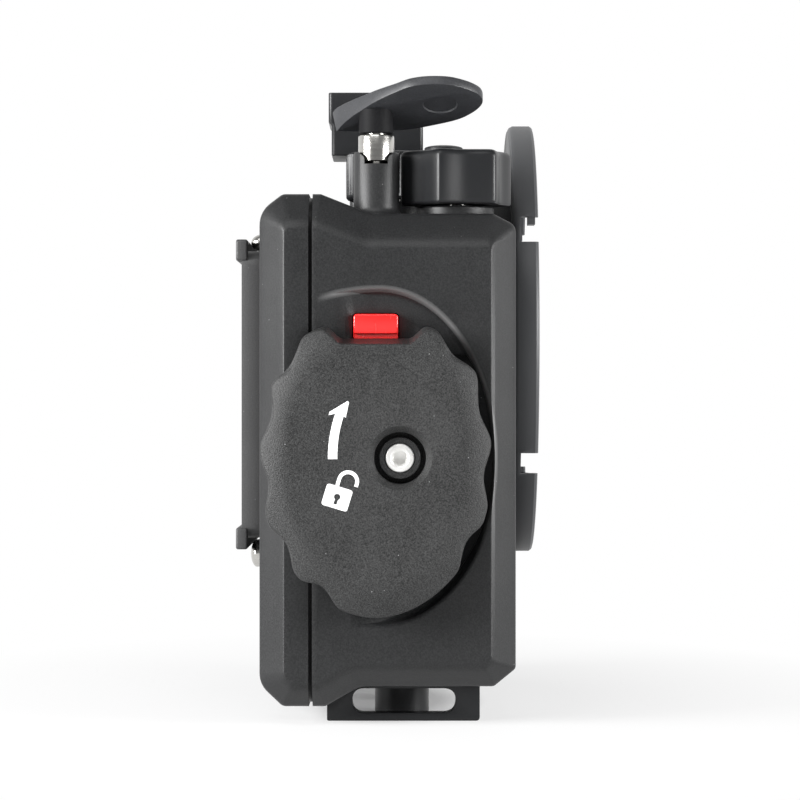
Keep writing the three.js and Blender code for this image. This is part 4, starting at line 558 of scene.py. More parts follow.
def caseOutline(across, up):
    form = caseForm
    edges = []
    for index, (y, z, radius) in enumerate(form["corners"]):
        nextY, nextZ = form["corners"][(index + 1) % len(form["corners"])][:2]
        facing = Vector((nextZ - z, y - nextY)).normalized()
        upward = form["bevelUp"] if facing.y > 0 else form["bevelDown"]
        inset = math.hypot(across * form["bevelAcross"] * facing.x, up * upward * facing.y)
        edges.append((facing, facing.dot(Vector((y, z))) - inset))
    drawn = []
    for index, (y, z, radius) in enumerate(form["corners"]):
        (n1, r1), (n2, r2) = edges[index - 1], edges[index]
        area = n1.x * n2.y - n1.y * n2.x
        drawn.append(((r1 * n2.y - r2 * n1.y) / area, (r2 * n1.x - r1 * n2.x) / area, radius))
    return rounded(drawn)


def wholeCase():
    near, far = [], []
    for x, across, up in caseForm["stations"]:
        outline = caseOutline(across, up)
        near.append([Vector((-x, p.x, p.y)) for p in outline])
        far.append([Vector((x, p.x, p.y)) for p in outline])
    return lofted(near + far[::-1])


def halved(made, y, keepBack):
    cut = bmesh.ops.bisect_plane(made, geom=made.verts[:] + made.edges[:] + made.faces[:], plane_co=(0, y, 0),
                                 plane_no=(0, 1, 0), clear_outer=not keepBack, clear_inner=keepBack)
    edges = [part for part in cut["geom_cut"] if isinstance(part, bmesh.types.BMEdge)]
    bmesh.ops.contextual_create(made, geom=edges)
    bmesh.ops.recalc_face_normals(made, faces=made.faces)
    return made


def mouthPrism(margin, corner, low, high):
    # the case's mouth, smaller by the margin, from one depth to another
    side = caseForm["cavitySide"] - margin
    outline = rectangle(-side, side, caseForm["cavityLow"] + margin, caseForm["cavityTop"] - margin, corner)
    return prism("y", outline, low, high)


knobForm = {
    "centreY": 5.9, "centreZ": 62.4, "halfWidth": 28.0, "upper": 37.6, "lower": 35.0, "upperRound": 2.6,
    "lowerRound": 1.9, "scallop": 2.3, "rear": (43, 22, -5, -33, -60), "front": (49, 24, -2, -32),
    "scallopHalf": 13.0, "notchFloor": 7.8, "notchRise": 31.1, "notchSide": 5.6, "hornRise": 3.8,
    "hornRound": 0.7, "samples": 480, "faceX": -92.15, "slopeWidth": 7.4, "slopeRise": 2.5, "slopePower": 1.7,
    "edge": 0.55, "edgeSteps": 6,
    "rings": [(9.5, 0.05), (8.4, 0.1), (7.4, 0.16), (6.5, 0.24), (5.6, 0.33), (4.7, 0.43), (3.9, 0.54),
              (3.1, 0.66), (2.4, 0.78), (1.8, 0.88), (1.3, 0.95), (0.9, 1.0)],
    "draft": 1.2, "draftFrom": -91, "draftOver": 7.5,
    "side": [(-88.6, 1.0, 0.0), (-83.6, 1.0, 0.0), (-83.2, 0.75, 0.0), (-81.8, 0.75, 0.0), (-81.35, 0.75, 0.25),
             (-81.2, 0.75, 0.6)],
    "bore": [(0, -93), (7.85, -93), (7.75, -92.15), (7.6, -91.9), (6.5, -90.3), (6.3, -90.0), (6.25, -89.6),
             (6.25, -85.0), (5.1, -85.0), (5.1, -88.4), (4.95, -88.6), (3.75, -88.6), (3.65, -88.5),
             (3.65, -84.6), (3.3, -84.6), (3.3, -80), (0, -80)],
}


def knobOutline(inset, scallopShare=1.0, samples=None, notched=True, lift=0.0):
    # an egg with a scallop at each valley angle and a notch at the top between two soft horns
    form = knobForm
    samples = samples or form["samples"]
    points = []
    for index in range(samples):
        angle = 2 * math.pi * index / samples
        across, up = math.cos(angle), math.sin(angle)
        power = form["upperRound"] if up > 0 else form["lowerRound"]
        length = (form["upper"] if up > 0 else form["lower"]) - inset
        width = form["halfWidth"] - inset
        stretch = (abs(across) ** power + abs(up) ** power) ** (-1 / power)
        lean = math.degrees(math.atan2(up, abs(across)))
        nearest = min(abs(valley - lean) for valley in (form["rear"] if across > 0 else form["front"]))
        bite = math.cos(math.pi * min(1.0, nearest / form["scallopHalf"])) / 2 + 0.5
        shrink = 1 - scallopShare * form["scallop"] * bite / width
        y, z = across * stretch * width * shrink, up * stretch * length * shrink
        if notched and z > 0:
            t = min(1.0, max(0.0, (abs(y) - form["notchFloor"] - inset) / form["notchSide"]))
            rise = form["notchRise"] + lift - inset + form["hornRise"] * t * t * (3 - 2 * t)
            low, soft = min(z, rise), form["hornRound"]
            z = low - soft * math.log(math.exp((low - z) / soft) + math.exp((low - rise) / soft))
        points.append(Vector((y + form["centreY"], z + form["centreZ"])))
    return points


def knobDrop(point):
    # how far the sloping rim lies behind the flat face, by the distance from the plain egg
    form = knobForm
    y, z = abs(point.x - form["centreY"]), point.y - form["centreZ"]
    power = form["upperRound"] if z > 0 else form["lowerRound"]
    length = form["upper"] if z > 0 else form["lower"]
    level = ((y / form["halfWidth"]) ** power + (abs(z) / length) ** power) ** (1 / power)
    inside = math.hypot(y, z) * (1 / max(level, 0.01) - 1)
    share = 1 - min(1.0, max(0.0, inside / form["slopeWidth"]))
    return form["slopeRise"] * share ** form["slopePower"]


# the knob's recess: an egg that stays open to the front, where a ramp leads out of it
recessForm = {
    "centreY": 5.0, "centreZ": 65.5, "halfWidth": 28.4, "rearWidth": 45.0, "upper": 41.6, "lower": 40.2,
    "steps": 128,
    "rings": [(-81.0, -1.3), (-80.0, -1.05), (-79.97, -0.8), (-79.88, -0.5), (-79.72, -0.2), (-79.5, 0.0),
              (-79.1, 0.16), (-78.6, 0.42), (-78.15, 0.8), (-77.85, 1.2), (-77.68, 1.6), (-77.6, 2.0)],
    "ramp": [(-81.2, 2.2), (-80.0, 1.0), (-79.95, -0.4), (-79.75, -2.0), (-79.35, -3.9), (-78.8, -6.0),
             (-78.2, -8.2), (-77.8, -10.2), (-77.6, -12.0)],
    "rampStart": 19.6, "rampFront": [(-77.6, -29.5), (-81.2, -29.5)], "rampSpan": (9, 126), "rampLean": 9.0,
    "leanBelow": 50, "leanBehind": -20,
    "innerRings": (-81, -76.3), "innerMargin": 0.5, "innerSamples": 192,
    "innerBox": ((-82, -29, 10), (-70, 9.0, 91.2)), "innerPost": (7, -82, -70),
}


def recessCutter():
    form = recessForm
    rings = []
    for x, inset in form["rings"]:
        ring = []
        for index in range(form["steps"]):
            angle = 2 * math.pi * index / form["steps"]
            across, up = math.cos(angle), math.sin(angle)
            width = form["rearWidth"] if across > 0 else form["halfWidth"]
            tall = form["upper"] if up > 0 else form["lower"]
            ring.append(Vector((x, form["centreY"] + (width - inset) * across,
                                form["centreZ"] + (tall - inset) * up)))
        rings.append(ring)
    slope = [(x, form["rampStart"] + along) for x, along in form["ramp"]]
    ramp = prism("z", slope + form["rampFront"], *form["rampSpan"])
    for vert in ramp.verts:
        if vert.co.z < form["leanBelow"] and vert.co.y > form["leanBehind"]:
            vert.co.y -= form["rampLean"]
    return combined(lofted(rings), [ramp], "INTERSECT")


def innerRecessCutter():
    # the deeper room under the knob, with the post round the pivot left standing
    form = recessForm
    outline = knobOutline(-form["innerMargin"], 0, form["innerSamples"], False)
    rings = [[Vector((x, p.x, p.y)) for p in outline] for x in form["innerRings"]]
    egg = combined(lofted(rings), [block(*form["innerBox"])], "INTERSECT")
    return combined(egg, [rod("x", lockPivot, *form["innerPost"], 64)])


towerForm = {
    "shutter": [(0, 121), (6.7, 121), (6.7, 125.9), (6.2, 126.2), (5.75, 126.9), (5.6, 127.6), (5.6, 140.9),
                (5.45, 141.25), (5.1, 141.4), (0, 141.4)],
    "dial": [(0, 121), (9.5, 121), (9.5, 127.7), (9.1, 128.1), (0, 128.1)],
    "wheel": [(0, 121), (8.4, 121), (8.4, 125.9), (8.1, 126.3), (8.0, 126.8), (8.0, 130.2), (7.6, 130.6),
              (0, 130.6)],
    "button": [(0, 121), (7.4, 121), (7.4, 125.9), (6.9, 126.3), (6.6, 127.0), (6.6, 139.9), (6.3, 140.4),
               (5.9, 140.6), (0, 140.6)],
    "pedestal": {"half": 8.5, "front": -4.4, "rear": 13.4, "round": 3,
                 "flare": [(1.6, 120), (1.6, 125.9), (1.1, 126.2), (0.4, 126.9), (0, 127.8), (0, 144.7)]},
    "shutterBores": [(4.75, 127.3, 143, 64), (2.3, 118, 128, 32)],
    "window": [(3.05, 138.3), (8.75, 138.3), (8.8, 139.6), (9.1, 140.2), (9.75, 140.7), (10.4, 141.5),
               (10.4, 143), (1.4, 143), (1.4, 141.5), (2.05, 140.7), (2.7, 140.2), (3.0, 139.6)],
    "windowSpan": (-73, -66),
    "bores": [("dial", 3.3, 118, 130, 32), ("wheel", 3.3, 118, 132, 32), ("button", 5.3, 132.4, 142, 64),
              ("button", 2.3, 118, 133, 32)],
}


def caseTowers():
    towers = [spun("z", place, towerForm[name], 96) for name, place in controlPlaces.items()]
    form = towerForm["pedestal"]
    rings = []
    for grow, z in form["flare"]:
        side, front, rear = form["half"] + grow, form["front"] - grow, form["rear"] + grow
        rings.append([Vector((p.x, p.y, z)) for p in rectangle(-side, side, front, rear, form["round"])])
    return towers + [lofted(rings)]


def towerBores():
    bores = [rod("z", controlPlaces["shutter"], *bore) for bore in towerForm["shutterBores"]]
    bores.append(prism("x", towerForm["window"], *towerForm["windowSpan"]))
    return bores + [rod("z", controlPlaces[name], *bore) for name, *bore in towerForm["bores"]]


hingeForm = {
    "x": 84.6, "y": 21.95, "radius": 3.6, "centres": (96, 38), "knuckle": 9.0, "gap": 0.4,
    "bore": (1.8, 9, 126), "webFromX": 77, "room": 0.6, "roomX": (70, 90), "roomOver": 2, "pin": 1.5,
    "pinEase": (0.2, 0.3),
    "pinHead": [(1.5, 0.3), (2.1, 0.3), (2.4, 0.6), (2.3, 1.1), (1.6, 1.5), (0, 1.5)],
}


def hingeLevels(side):
    # the heights that the knuckles of the cover or the shell take up
    half, gap, tall = hingeForm["knuckle"] / 2, hingeForm["gap"], hingeForm["knuckle"]
    levels = []
    for centre in hingeForm["centres"]:
        if side == "cover":
            levels.append((centre - half, centre + half))
        else:
            levels.append((centre - half - gap - tall, centre - half - gap))
            levels.append((centre + half + gap, centre + half + gap + tall))
    return levels


def hingeRod(radius, low, high, steps):
    return rod("z", (hingeForm["x"], hingeForm["y"], 0), radius, low, high, steps)


def hingeBarrels(side, webFrom, webTo):
    parts = []
    for low, high in hingeLevels(side):
        web = block((hingeForm["webFromX"], webFrom, low), (hingeForm["x"], webTo, high))
        parts.append(combined(hingeRod(hingeForm["radius"], low, high, 48), [web], "UNION"))
    return parts


def barrelRooms(side, fromY, toY):
    # room for the other half's knuckles, with the gap all round
    form = hingeForm
    left, right = form["roomX"]
    rooms = []
    for low, high in hingeLevels(side):
        room = hingeRod(form["radius"] + form["room"], low - form["gap"], high + form["gap"], 48)
        near, far = (left, fromY, low - form["roomOver"]), (right, toY, high + form["roomOver"])
        rooms.append(combined(room, [block(near, far)], "INTERSECT"))
    return rooms


shellForm = {
    "turret": [(0, -28.5), (47.5, -28.5), (47.5, -20.5), (47.2, -19.7), (46.6, -19.2), (46, -19), (0, -19)],
    "cavity": (0, 8, -24, 22.5), "portBores": [(38.5, -30, -22), (41.8, -30, -25.1)],
    "sealGroove": (40.9, 39.1, -26, -24.0), "lockBoss": (9, -74, -68), "camRoom": (20.4, -81, -78.9),
    "releaseBoss": (-2.55, 14.35, 91.5, 104, 3), "releaseBossX": (-74, -68.3), "bushPost": (7, -78.9, -75),
    "releaseRoom": (0.15, 11.65, 94.2, 101.3, 1.3), "releaseRoomX": (-81, -70.3), "lockBore": (2.3, -80, -70.5),
    "tongueRoom": ((-78.9, 13.6, 57.2), (-75.5, 22.5, 74.8)), "webY": (13.8, 21.5), "roomY": (-29, 22.5),
}


def frontShell():
    form = shellForm
    turret = spun("y", portCentre, form["turret"], 128)
    shell = halved(wholeCase(), caseForm["shellBackY"], False)
    shell = combined(shell, [turret] + caseTowers(), "UNION")
    hollow = [mouthPrism(*form["cavity"])] + [rod("y", portCentre, *bore, 128) for bore in form["portBores"]]
    shell = combined(shell, hollow + [tube("y", portCentre, *form["sealGroove"], 128)])
    bosses = [rod("x", lockPivot, *form["lockBoss"], 48),
              prism("x", rectangle(*form["releaseBoss"]), *form["releaseBossX"])]
    shell = combined(shell, bosses + hingeBarrels("shell", *form["webY"]), "UNION")
    shell = combined(shell, [recessCutter(), innerRecessCutter(), rod("x", lockPivot, *form["camRoom"], 128)])
    shell = combined(shell, [rod("x", lockPivot, *form["bushPost"], 64)], "UNION")
    cuts = [prism("x", rectangle(*form["releaseRoom"]), *form["releaseRoomX"]), block(*form["tongueRoom"]),
            rod("x", lockPivot, *form["lockBore"], 32), hingeRod(*hingeForm["bore"], 32)]
    shell = combined(shell, cuts + barrelRooms("cover", *form["roomY"]) + towerBores())
    return finished(shell, "caseFront", "housing", ["front_shell"], "caseFrontBlack",
                    caseForm["edge"])


coverForm = {
    "plug": (1, 7, 17, 23.4), "land": (-76.5, 76.5, 5.3, 130.0, 9), "landY": (21.6, 23.4),
    "well": (4, 7, 16, 31), "keyRoom": ((-52.6, 24.4, 116.2), (-43.4, 31, 125.2)),
    "groove": (0, 7, 18.6, 21.2), "grooveFloor": (2.5, 7, 18, 22),
    "tongue": (-78.6, -75.8, 57.5, 74.5, 0.6, 3), "tongueY": (13.9, 23.4), "webY": (22.4, 26.55),
    "roomY": (21.4, 36), "window": (-18, 57, 50.5, 112, 4), "windowSeat": (0.3, 31.3, 36),
    "windowHole": (-3.5, 30, 35),
}
# the keys by their solids: across, up, kind
keyPlaces = {
    "pad_key_centre": (-41, 74, "black"), "pad_key_up": (-41, 83.3, "black"),
    "pad_key_down": (-41, 64.7, "black"), "pad_key_inner": (-31.7, 74, "black"),
    "pad_key_outer": (-50.3, 74, "black"), "upper_key": (-41, 103, "black"),
    "silver_key_upper": (-48, 119.8, "slim"), "silver_key_lower": (-48, 41.2, "silver"),
}
keyForm = {
    "black": {"radius": 4.0, "proud": 3.4, "crown": 1.6}, "silver": {"radius": 3.5, "proud": 3.2, "crown": 1.6},
    "slim": {"radius": 2.2, "proud": 3.12, "crown": 2.7},
    "base": 34.3, "face": 34.6, "stem": {"stem": 1.6, "stemEnd": 26.4, "groove": 28.4},
    "boss": (1.4, 28.6, 31.5), "pocket": (0.4, 32.0, 36), "bore": (1.9, 27, 35),
}


def windowOutline(margin, radius=4):
    left, right, low, high, corner = coverForm["window"]
    return rectangle(left - margin, right + margin, low - margin, high + margin, radius)


def rearCover():
    form = coverForm
    land = prism("y", rectangle(*form["land"]), *form["landY"])  # fills the seam behind the shell's rim
    cover = halved(wholeCase(), caseForm["coverFrontY"], True)
    cover = combined(cover, [mouthPrism(*form["plug"]), land], "UNION")
    cover = combined(cover, [mouthPrism(*form["well"]), block(*form["keyRoom"])])
    cover = combined(cover, [combined(mouthPrism(*form["groove"]), [mouthPrism(*form["grooveFloor"])])])
    margin, low, high = keyForm["boss"]
    bosses = [rod("y", (x, 0, z), keyForm[kind]["radius"] + margin, low, high, 32)
              for x, z, kind in keyPlaces.values()]
    tongue = prism("y", rectangle(*form["tongue"]), *form["tongueY"])
    cover = combined(cover, bosses + [tongue] + hingeBarrels("cover", *form["webY"]), "UNION")
    cuts = []
    for margin, low, high in (form["windowSeat"], form["windowHole"]):
        cuts.append(prism("y", windowOutline(margin), low, high))
    cuts.append(hingeRod(*hingeForm["bore"], 32))
    margin, low, high = keyForm["pocket"]
    for x, z, kind in keyPlaces.values():
        cuts.append(rod("y", (x, 0, z), keyForm[kind]["radius"] + margin, low, high, 48))
        cuts.append(rod("y", (x, 0, z), *keyForm["bore"], 24))
    cover = combined(cover, cuts + barrelRooms("shell", *form["roomY"]))
    return finished(cover, "caseBack", "cover", ["rear_cover"], "caseBlack", caseForm["edge"])


frontShell()
print("front shell done")
rearCover()
print("rear cover done")

# window and its frame
frameForm = {
    "halfWidth": 62.0, "low": 45.5, "high": 117.3, "frontY": 34.6, "backY": 39.5, "wall": 2.6, "corner": 5.0,
    "wellY": (36.2, 42), "rail": (38.05, 40.95, 5.4, 2.6), "railEnds": (0.8, 4), "railEdge": (0.5, 3),
    "opening": (-2, 3), "padOpening": (-56.2, -24, 52.5, 110, 4), "openingY": (33, 40),
    "screwX": (-57.4, 57.4), "screwZ": (50.1, 112.7), "screwY": 36.9, "screwHead": (2.9, 35.4, 42),
    "screwBore": (1.35, 33, 40), "pane": (31.6, 34.6), "paneEdge": (0.3, 2, 45), "edge": (0.25, 2, 45),
}


def windowFrame():
    form = frameForm
    side, low, high, wall = form["halfWidth"], form["low"], form["high"], form["wall"]
    body = prism("y", rectangle(-side, side, low, high, form["corner"]), form["frontY"], form["backY"])
    front, back, tall, overlap = form["rail"]
    rails = []
    for bottom in (high - overlap, low + overlap - tall):
        rail = prism("y", rectangle(-side, side, bottom, bottom + tall, *form["railEnds"]), front, back)
        flat = [edge for edge in rail.edges if abs(edge.verts[0].co.y - edge.verts[1].co.y) < 0.01]
        rails.append(bevelled(rail, flat, *form["railEdge"]))
    body = combined(body, rails, "UNION")
    inside = rectangle(-side + wall, side - wall, low + wall, high - wall, form["corner"])
    cuts = [prism("y", inside, *form["wellY"])]
    for opening in (windowOutline(*form["opening"]), rectangle(*form["padOpening"])):
        cuts.append(prism("y", opening, *form["openingY"]))
    for x in form["screwX"]:
        for z in form["screwZ"]:
            cuts += [rod("y", (x, 0, z), *form["screwHead"], 32), rod("y", (x, 0, z), *form["screwBore"], 24)]
    return finished(combined(body, cuts), "windowFrameRim", "cover", ["window_frame"], "frameBlack",
                    form["edge"])


def rearWindow():
    pane = prism("y", windowOutline(0), *frameForm["pane"])
    return finished(pane, "rearPane", "cover", ["rear_window"], "rearWindow",
                    frameForm["paneEdge"])


windowFrame()
rearWindow()
print("frame and window done")


# lock knob with its cam, bush, screw and printed marks
def lockKnob():
    form = knobForm

    def faceRing(outline, fall=0):
        return [Vector((form["faceX"] + knobDrop(p) + fall, p.x, p.y)) for p in outline]

    rings = [faceRing(knobOutline(inset, share)) for inset, share in form["rings"]]
    for step in range(form["edgeSteps"] + 1):
        turn = math.pi / 2 * step / form["edgeSteps"]
        inset, fall = form["edge"] * (1 - math.sin(turn)), form["edge"] * (1 - math.cos(turn))
        rings.append(faceRing(knobOutline(inset), fall))
    for x, share, inset in form["side"]:
        lift = form["draft"] * (x - form["draftFrom"]) / form["draftOver"]
        rings.append([Vector((x, p.x, p.y)) for p in knobOutline(inset, share, lift=lift)])
    knob = combined(lofted(rings), [spun("x", lockPivot, form["bore"], 128)])
    return finished(knob, "lockKnobGrip", "knob", ["lock_knob"], "knobBlack", None, 40)


camForm = {"disc": (19.8, 3.3, -81.2, -79.2), "bite": (0, 0, 46.2), "biteSize": (4, -83, -78),
           "edge": (0.25, 2, 40)}


def lockCam():
    disc = tube("x", lockPivot, *camForm["disc"], 128)
    cam = combined(disc, [rod("x", camForm["bite"], *camForm["biteSize"], 48)])
    return finished(cam, "lockCamDisc", "knob", ["lock_cam"], "frameBlack", camForm["edge"])


bushProfile = [(2.2, -84.55), (2.9, -84.6), (3.0, -84.5), (3.0, -79), (2.9, -78.9), (2.2, -78.9)]


def lockBush():
    bush = spun("x", lockPivot, bushProfile, 64)
    return finished(bush, "lockBushSleeve", "housing", ["lock_bush"], "steel")


# socket-head screws, drawn along +Z with the head's top at zero
screwForm = {
    "lock": {"head": 3.5, "tall": 4.0, "shank": 2.0, "length": 11.6, "socket": 1.75, "deep": 2.2},
    "small": {"head": 2.3, "tall": 1.5, "shank": 1.2, "length": 2.6, "socket": 1.15, "deep": 0.9},
    "tip": (0.3, 0.4), "underHead": (0.1, 0.15), "roundShare": 9, "roundMiddle": 0.3,
    "dimple": (0.55, 0.35, 0.12), "drill": (0.9, 0.5), "edge": (0.06, 2, 40), "lockPlace": (-88.9, 0, 66),
}


def socketScrew(kind):
    form, size = screwForm, screwForm[kind]
    head, tall, shank, socket = size["head"], size["tall"], size["shank"], size["socket"]
    end = -tall - size["length"]
    (tipIn, tipUp), (headIn, headUp) = form["tip"], form["underHead"]
    wide, narrow, sunk = form["dimple"]
    edge, middle = head / form["roundShare"], form["roundMiddle"]
    profile = [(0, end), (shank - tipIn, end), (shank, end + tipUp), (shank, -tall), (head - headIn, -tall),
               (head, -tall + headUp), (head, -edge), (head - edge * middle, -edge * middle),
               (head - edge, 0), (socket + wide, 0), (socket + narrow, -sunk), (0, -sunk)]
    screw = spun("z", (0, 0, 0), profile, 48)
    across = socket / math.cos(math.pi / 6)
    hexagon = rod("z", (0, 0, 0), across, -size["deep"], 1, 6)
    share, deeper = form["drill"]
    drill = rod("z", (0, 0, 0), socket * share, -size["deep"] - deeper, deeper, 24)
    return combined(screw, [hexagon, drill])


def placedScrew(kind, name, body, node, place, turn):
    screw = socketScrew(kind)
    if turn:
        turnedBy(screw, *turn)
    bmesh.ops.translate(screw, vec=place, verts=screw.verts)
    return finished(screw, name, body, [node], "screwSteel", screwForm["edge"], 30)


# a plain curved arrow and an open padlock, printed a hair above the knob's face
markForm = {
    "proud": 0.04, "sunk": 0.1, "through": (-93, -92),
    "arrow": {"from": (16.2, 65.8), "middle": (16.25, 71.4), "to": (14.55, 76.4), "half": (1.13, 1.05),
              "steps": 20},
    "head": [(17.15, 76.35), (16.95, 77.15), (12.6, 79.75), (12.25, 79.45), (13.05, 75.75)],
    "lock": {"centre": (14.6, 58.3), "tilt": 17, "scale": 1.4, "body": (-2.3, 2.3, -3.2, 0.6, 0.5, 4),
             "keyhole": (0, 0, -1.2), "keyholeRadius": 0.55, "keySlot": (-0.28, 0.28, -2.5, -1.2),
             "bow": (1.9, 1.25), "bowCentre": (-1.0, 1.9), "bowSteps": 24,
             "legs": [(0.25, 0.9, 0.6, 1.9), (-2.9, -2.25, 1.4, 1.9)]},
}


def flatMark(outline):
    return prism("x", outline, knobForm["faceX"] - markForm["proud"], knobForm["faceX"] + markForm["sunk"])


def curvedArrow():
    form = markForm["arrow"]
    start, middle, end = (Vector(form[key]) for key in ("from", "middle", "to"))
    low, high = [], []
    for step, place in enumerate(drawnTowards(middle, start, end, form["steps"])):
        t = step / form["steps"]
        along = ((middle - start) * (1 - t) + (end - middle) * t).normalized()
        away = Vector((along.y, -along.x))
        half = form["half"][0] + (form["half"][1] - form["half"][0]) * t
        low.append(place + away * half)
        high.append(place - away * half)
    return flatMark(low + [Vector(point) for point in markForm["head"]] + high[::-1])


def openPadlock():
    form = markForm["lock"]
    keyhole = rod("x", form["keyhole"], form["keyholeRadius"], *markForm["through"], 24)
    slot = prism("x", rectangle(*form["keySlot"]), *markForm["through"])
    parts = [combined(flatMark(rectangle(*form["body"])), [keyhole, slot])]
    bow = []
    (y, z), steps = form["bowCentre"], form["bowSteps"]
    for radius, order in zip(form["bow"], (range(steps + 1), range(steps, -1, -1))):
        for step in order:
            angle = math.pi * step / steps
            bow.append(Vector((radius * math.cos(angle) + y, z + radius * math.sin(angle))))
    parts += [flatMark(outline) for outline in [bow] + [rectangle(*leg) for leg in form["legs"]]]
    picture = joined(*parts)
    bmesh.ops.scale(picture, vec=(1, form["scale"], form["scale"]), verts=picture.verts)
    turnedBy(picture, form["tilt"], "X")
    bmesh.ops.translate(picture, vec=(0, *form["centre"]), verts=picture.verts)
    return picture


def printedMarks():
    marks = joined(curvedArrow(), openPadlock())
    bmesh.ops.recalc_face_normals(marks, faces=marks.faces)
    return finished(marks, "knobMarks", "knob", [], "printedMark")


lockKnob()
lockCam()
lockBush()
placedScrew("lock", "lockScrewCap", "housing", "lock_screw", screwForm["lockPlace"], (-90, "Y"))
printedMarks()
print("lock done")

# red release button; its lower part is stepped back, clear of the knob
releaseForm = {"outline": (0.45, 11.35, 94.5, 101.0, 1.0, 5), "faceX": -80.9, "backX": -74.6,
               "round": (0.45, 4), "step": ((-83, -2, 92), (-79.7, 14, 96.2)), "edge": (0.18, 3, 40)}


def releaseButton():
    form = releaseForm
    key = prism("x", rectangle(*form["outline"]), form["faceX"], form["backX"])
    rim = [edge for edge in key.edges if all(abs(v.co.x - form["faceX"]) < 0.01 for v in edge.verts)]
    key = combined(bevelled(key, rim, *form["round"]), [block(*form["step"])])
    return finished(key, "releaseKey", "release", ["release_button"], "releaseRed", form["edge"])


releaseButton()
print("release button done")

# shutter shaft and lever
shaftProfile = [(0, 112.4), (3.3, 112.4), (3.6, 112.7), (3.6, 114.4), (2, 114.4), (2, 119.6), (1.6, 119.6),
                (1.6, 120.8), (2, 120.8), (2, 139), (4.2, 139), (4.45, 139.25), (4.45, 145.2), (4.3, 145.5),
                (3.95, 145.7), (2.6, 145.7), (2.6, 149.4), (2.4, 149.6), (0, 149.6)]
leverForm = {
    "pivotX": -58.0, "lowZ": 147.2, "tilt": 23.0, "blank": 10,
    "outline": [(-0.2, 15.9), (-0.1, 10.5), (-0.3, 3.8), (-1.2, -2.5), (-3.5, -8.7), (-6.4, -14.4),
                (-9.8, -17.8), (-13.2, -19.8), (-16.0, -20.4), (-18.8, -19.8), (-21.0, -18.1),
                (-22.9, -15.6), (-24.5, -12.2), (-24.9, -8.5), (-24.5, -4.9), (-23.2, -1.7), (-20.7, 1.2),
                (-18.4, 3.7), (-15.8, 6.2), (-12.7, 8.6), (-8.5, 11.7), (-4.2, 14.2)],
    "outlineSteps": 4, "thin": 2.55, "thicker": 3.0, "thickPower": 1.6, "thickFrom": -1.2, "thickTo": 15.0,
    "lean": 1.1, "leanPower": 6, "rims": [(True, 0.9, 5), (False, 0.22, 2)],
    "mark": (-14.2, -9.9, 0), "markProfile": [(0, -1), (4.3, -1), (4.3, 0), (4.05, 0.35), (0, 0.35)],
    "ridges": (-5.4, -9.1, -12.8), "ridgeSink": 0.15,
    "ridge": [(0, -23.5), (0.45, -23.3), (0.75, -22.8), (0.75, -15.2), (0.45, -14.7), (0, -14.5)],
    "socket": (2.75, 145, 149.8),
    "hub": [(2.75, 146.0), (4.0, 146.0), (4.25, 146.25), (4.25, 152.0), (2.75, 152.0)],
}


def shutterShaft():
    shaft = spun("z", controlPlaces["shutter"], shaftProfile, 96)
    return finished(shaft, "shutterStem", "shutter", ["shutter_shaft"], "steel", None, 30)


def shutterLever():
    form = leverForm
    plate = prism("z", curveThrough(form["outline"], form["outlineSteps"]), 0, form["blank"])
    for vert in plate.verts:
        if vert.co.z > form["blank"] / 2:
            share = (vert.co.y - form["thickFrom"]) / (form["thickTo"] - form["thickFrom"])
            share = min(1.0, max(0.0, share))
            vert.co.z = form["thin"] + form["thicker"] * share ** form["thickPower"]
            vert.co.y += form["lean"] * share ** form["leanPower"]
    for onTop, width, segments in form["rims"]:
        rim = [edge for edge in plate.edges if all((v.co.z > form["thin"] / 2) == onTop for v in edge.verts)]
        bevelled(plate, rim, width, segments)
    plate = combined(plate, [spun("z", form["mark"], form["markProfile"], 64)])
    ridges = [spun("x", (0, y, form["thin"] - form["ridgeSink"]), form["ridge"], 24) for y in form["ridges"]]
    plate = combined(plate, ridges, "UNION")
    tilt = Matrix.Rotation(math.radians(form["tilt"]), 4, "Y")
    plate.transform(Matrix.Translation((form["pivotX"], 0, form["lowZ"])) @ tilt)
    plate = combined(plate, [rod("z", controlPlaces["shutter"], *form["socket"], 64)])
    hub = spun("z", controlPlaces["shutter"], form["hub"], 64)
    # the hub's near-black plastic is painted shade
    finished(hub, "leverHub", "shutter", [], "hubShadedBlack")
    return finished(plate, "shutterLever", "shutter", ["shutter_paddle"], "leverBlack")


shutterShaft()
shutterLever()
print("shutter done")

# lobed dial, knurled wheel, their shafts, top button and the cover's keys
dialForm = {
    "radius": 14.1, "lobes": 6, "depth": 2.4, "tip": 0.012, "turn": 222.0, "samples": 480,
    "rings": [(128.5, 0.6), (128.62, 0.3), (128.95, 0.05), (129.3, 0), (140.4, 0), (141.1, 0.15), (141.6, 0.5),
              (141.88, 0.95), (142.0, 1.5)],
    "dish": [(0, 141.1), (7.9, 141.1), (8.3, 141.3), (8.6, 141.9), (8.9, 143), (0, 143)],
    "bore": (3.15, 127, 134.5),
}
wheelForm = {
    "radius": 11.8, "teeth": 56, "depth": 0.5, "twist": 18.0, "samples": 448,
    "rings": [(131, 0.9), (131.25, 0.4), (131.8, 0), (132.6, 0), (142.1, 0), (142.7, 0.15), (143.1, 0.55),
              (143.3, 1.1)],
    "dish": [(0, 142.3), (8.4, 142.3), (8.8, 142.6), (9.0, 144), (0, 144)],
    "bore": (3.15, 130, 137),
}


def lobe(form, index, z):
    # the turn of a sample and its share of the depth, in sharp-tipped lobes
    turn = 2 * math.pi * index / form["samples"]
    phase = form["lobes"] * (turn - math.radians(form["turn"]))
    least, most = math.sqrt(form["tip"]), math.sqrt(1 + form["tip"])
    return turn, (math.sqrt((1 - math.cos(phase)) / 2 + form["tip"]) - least) / (most - least)


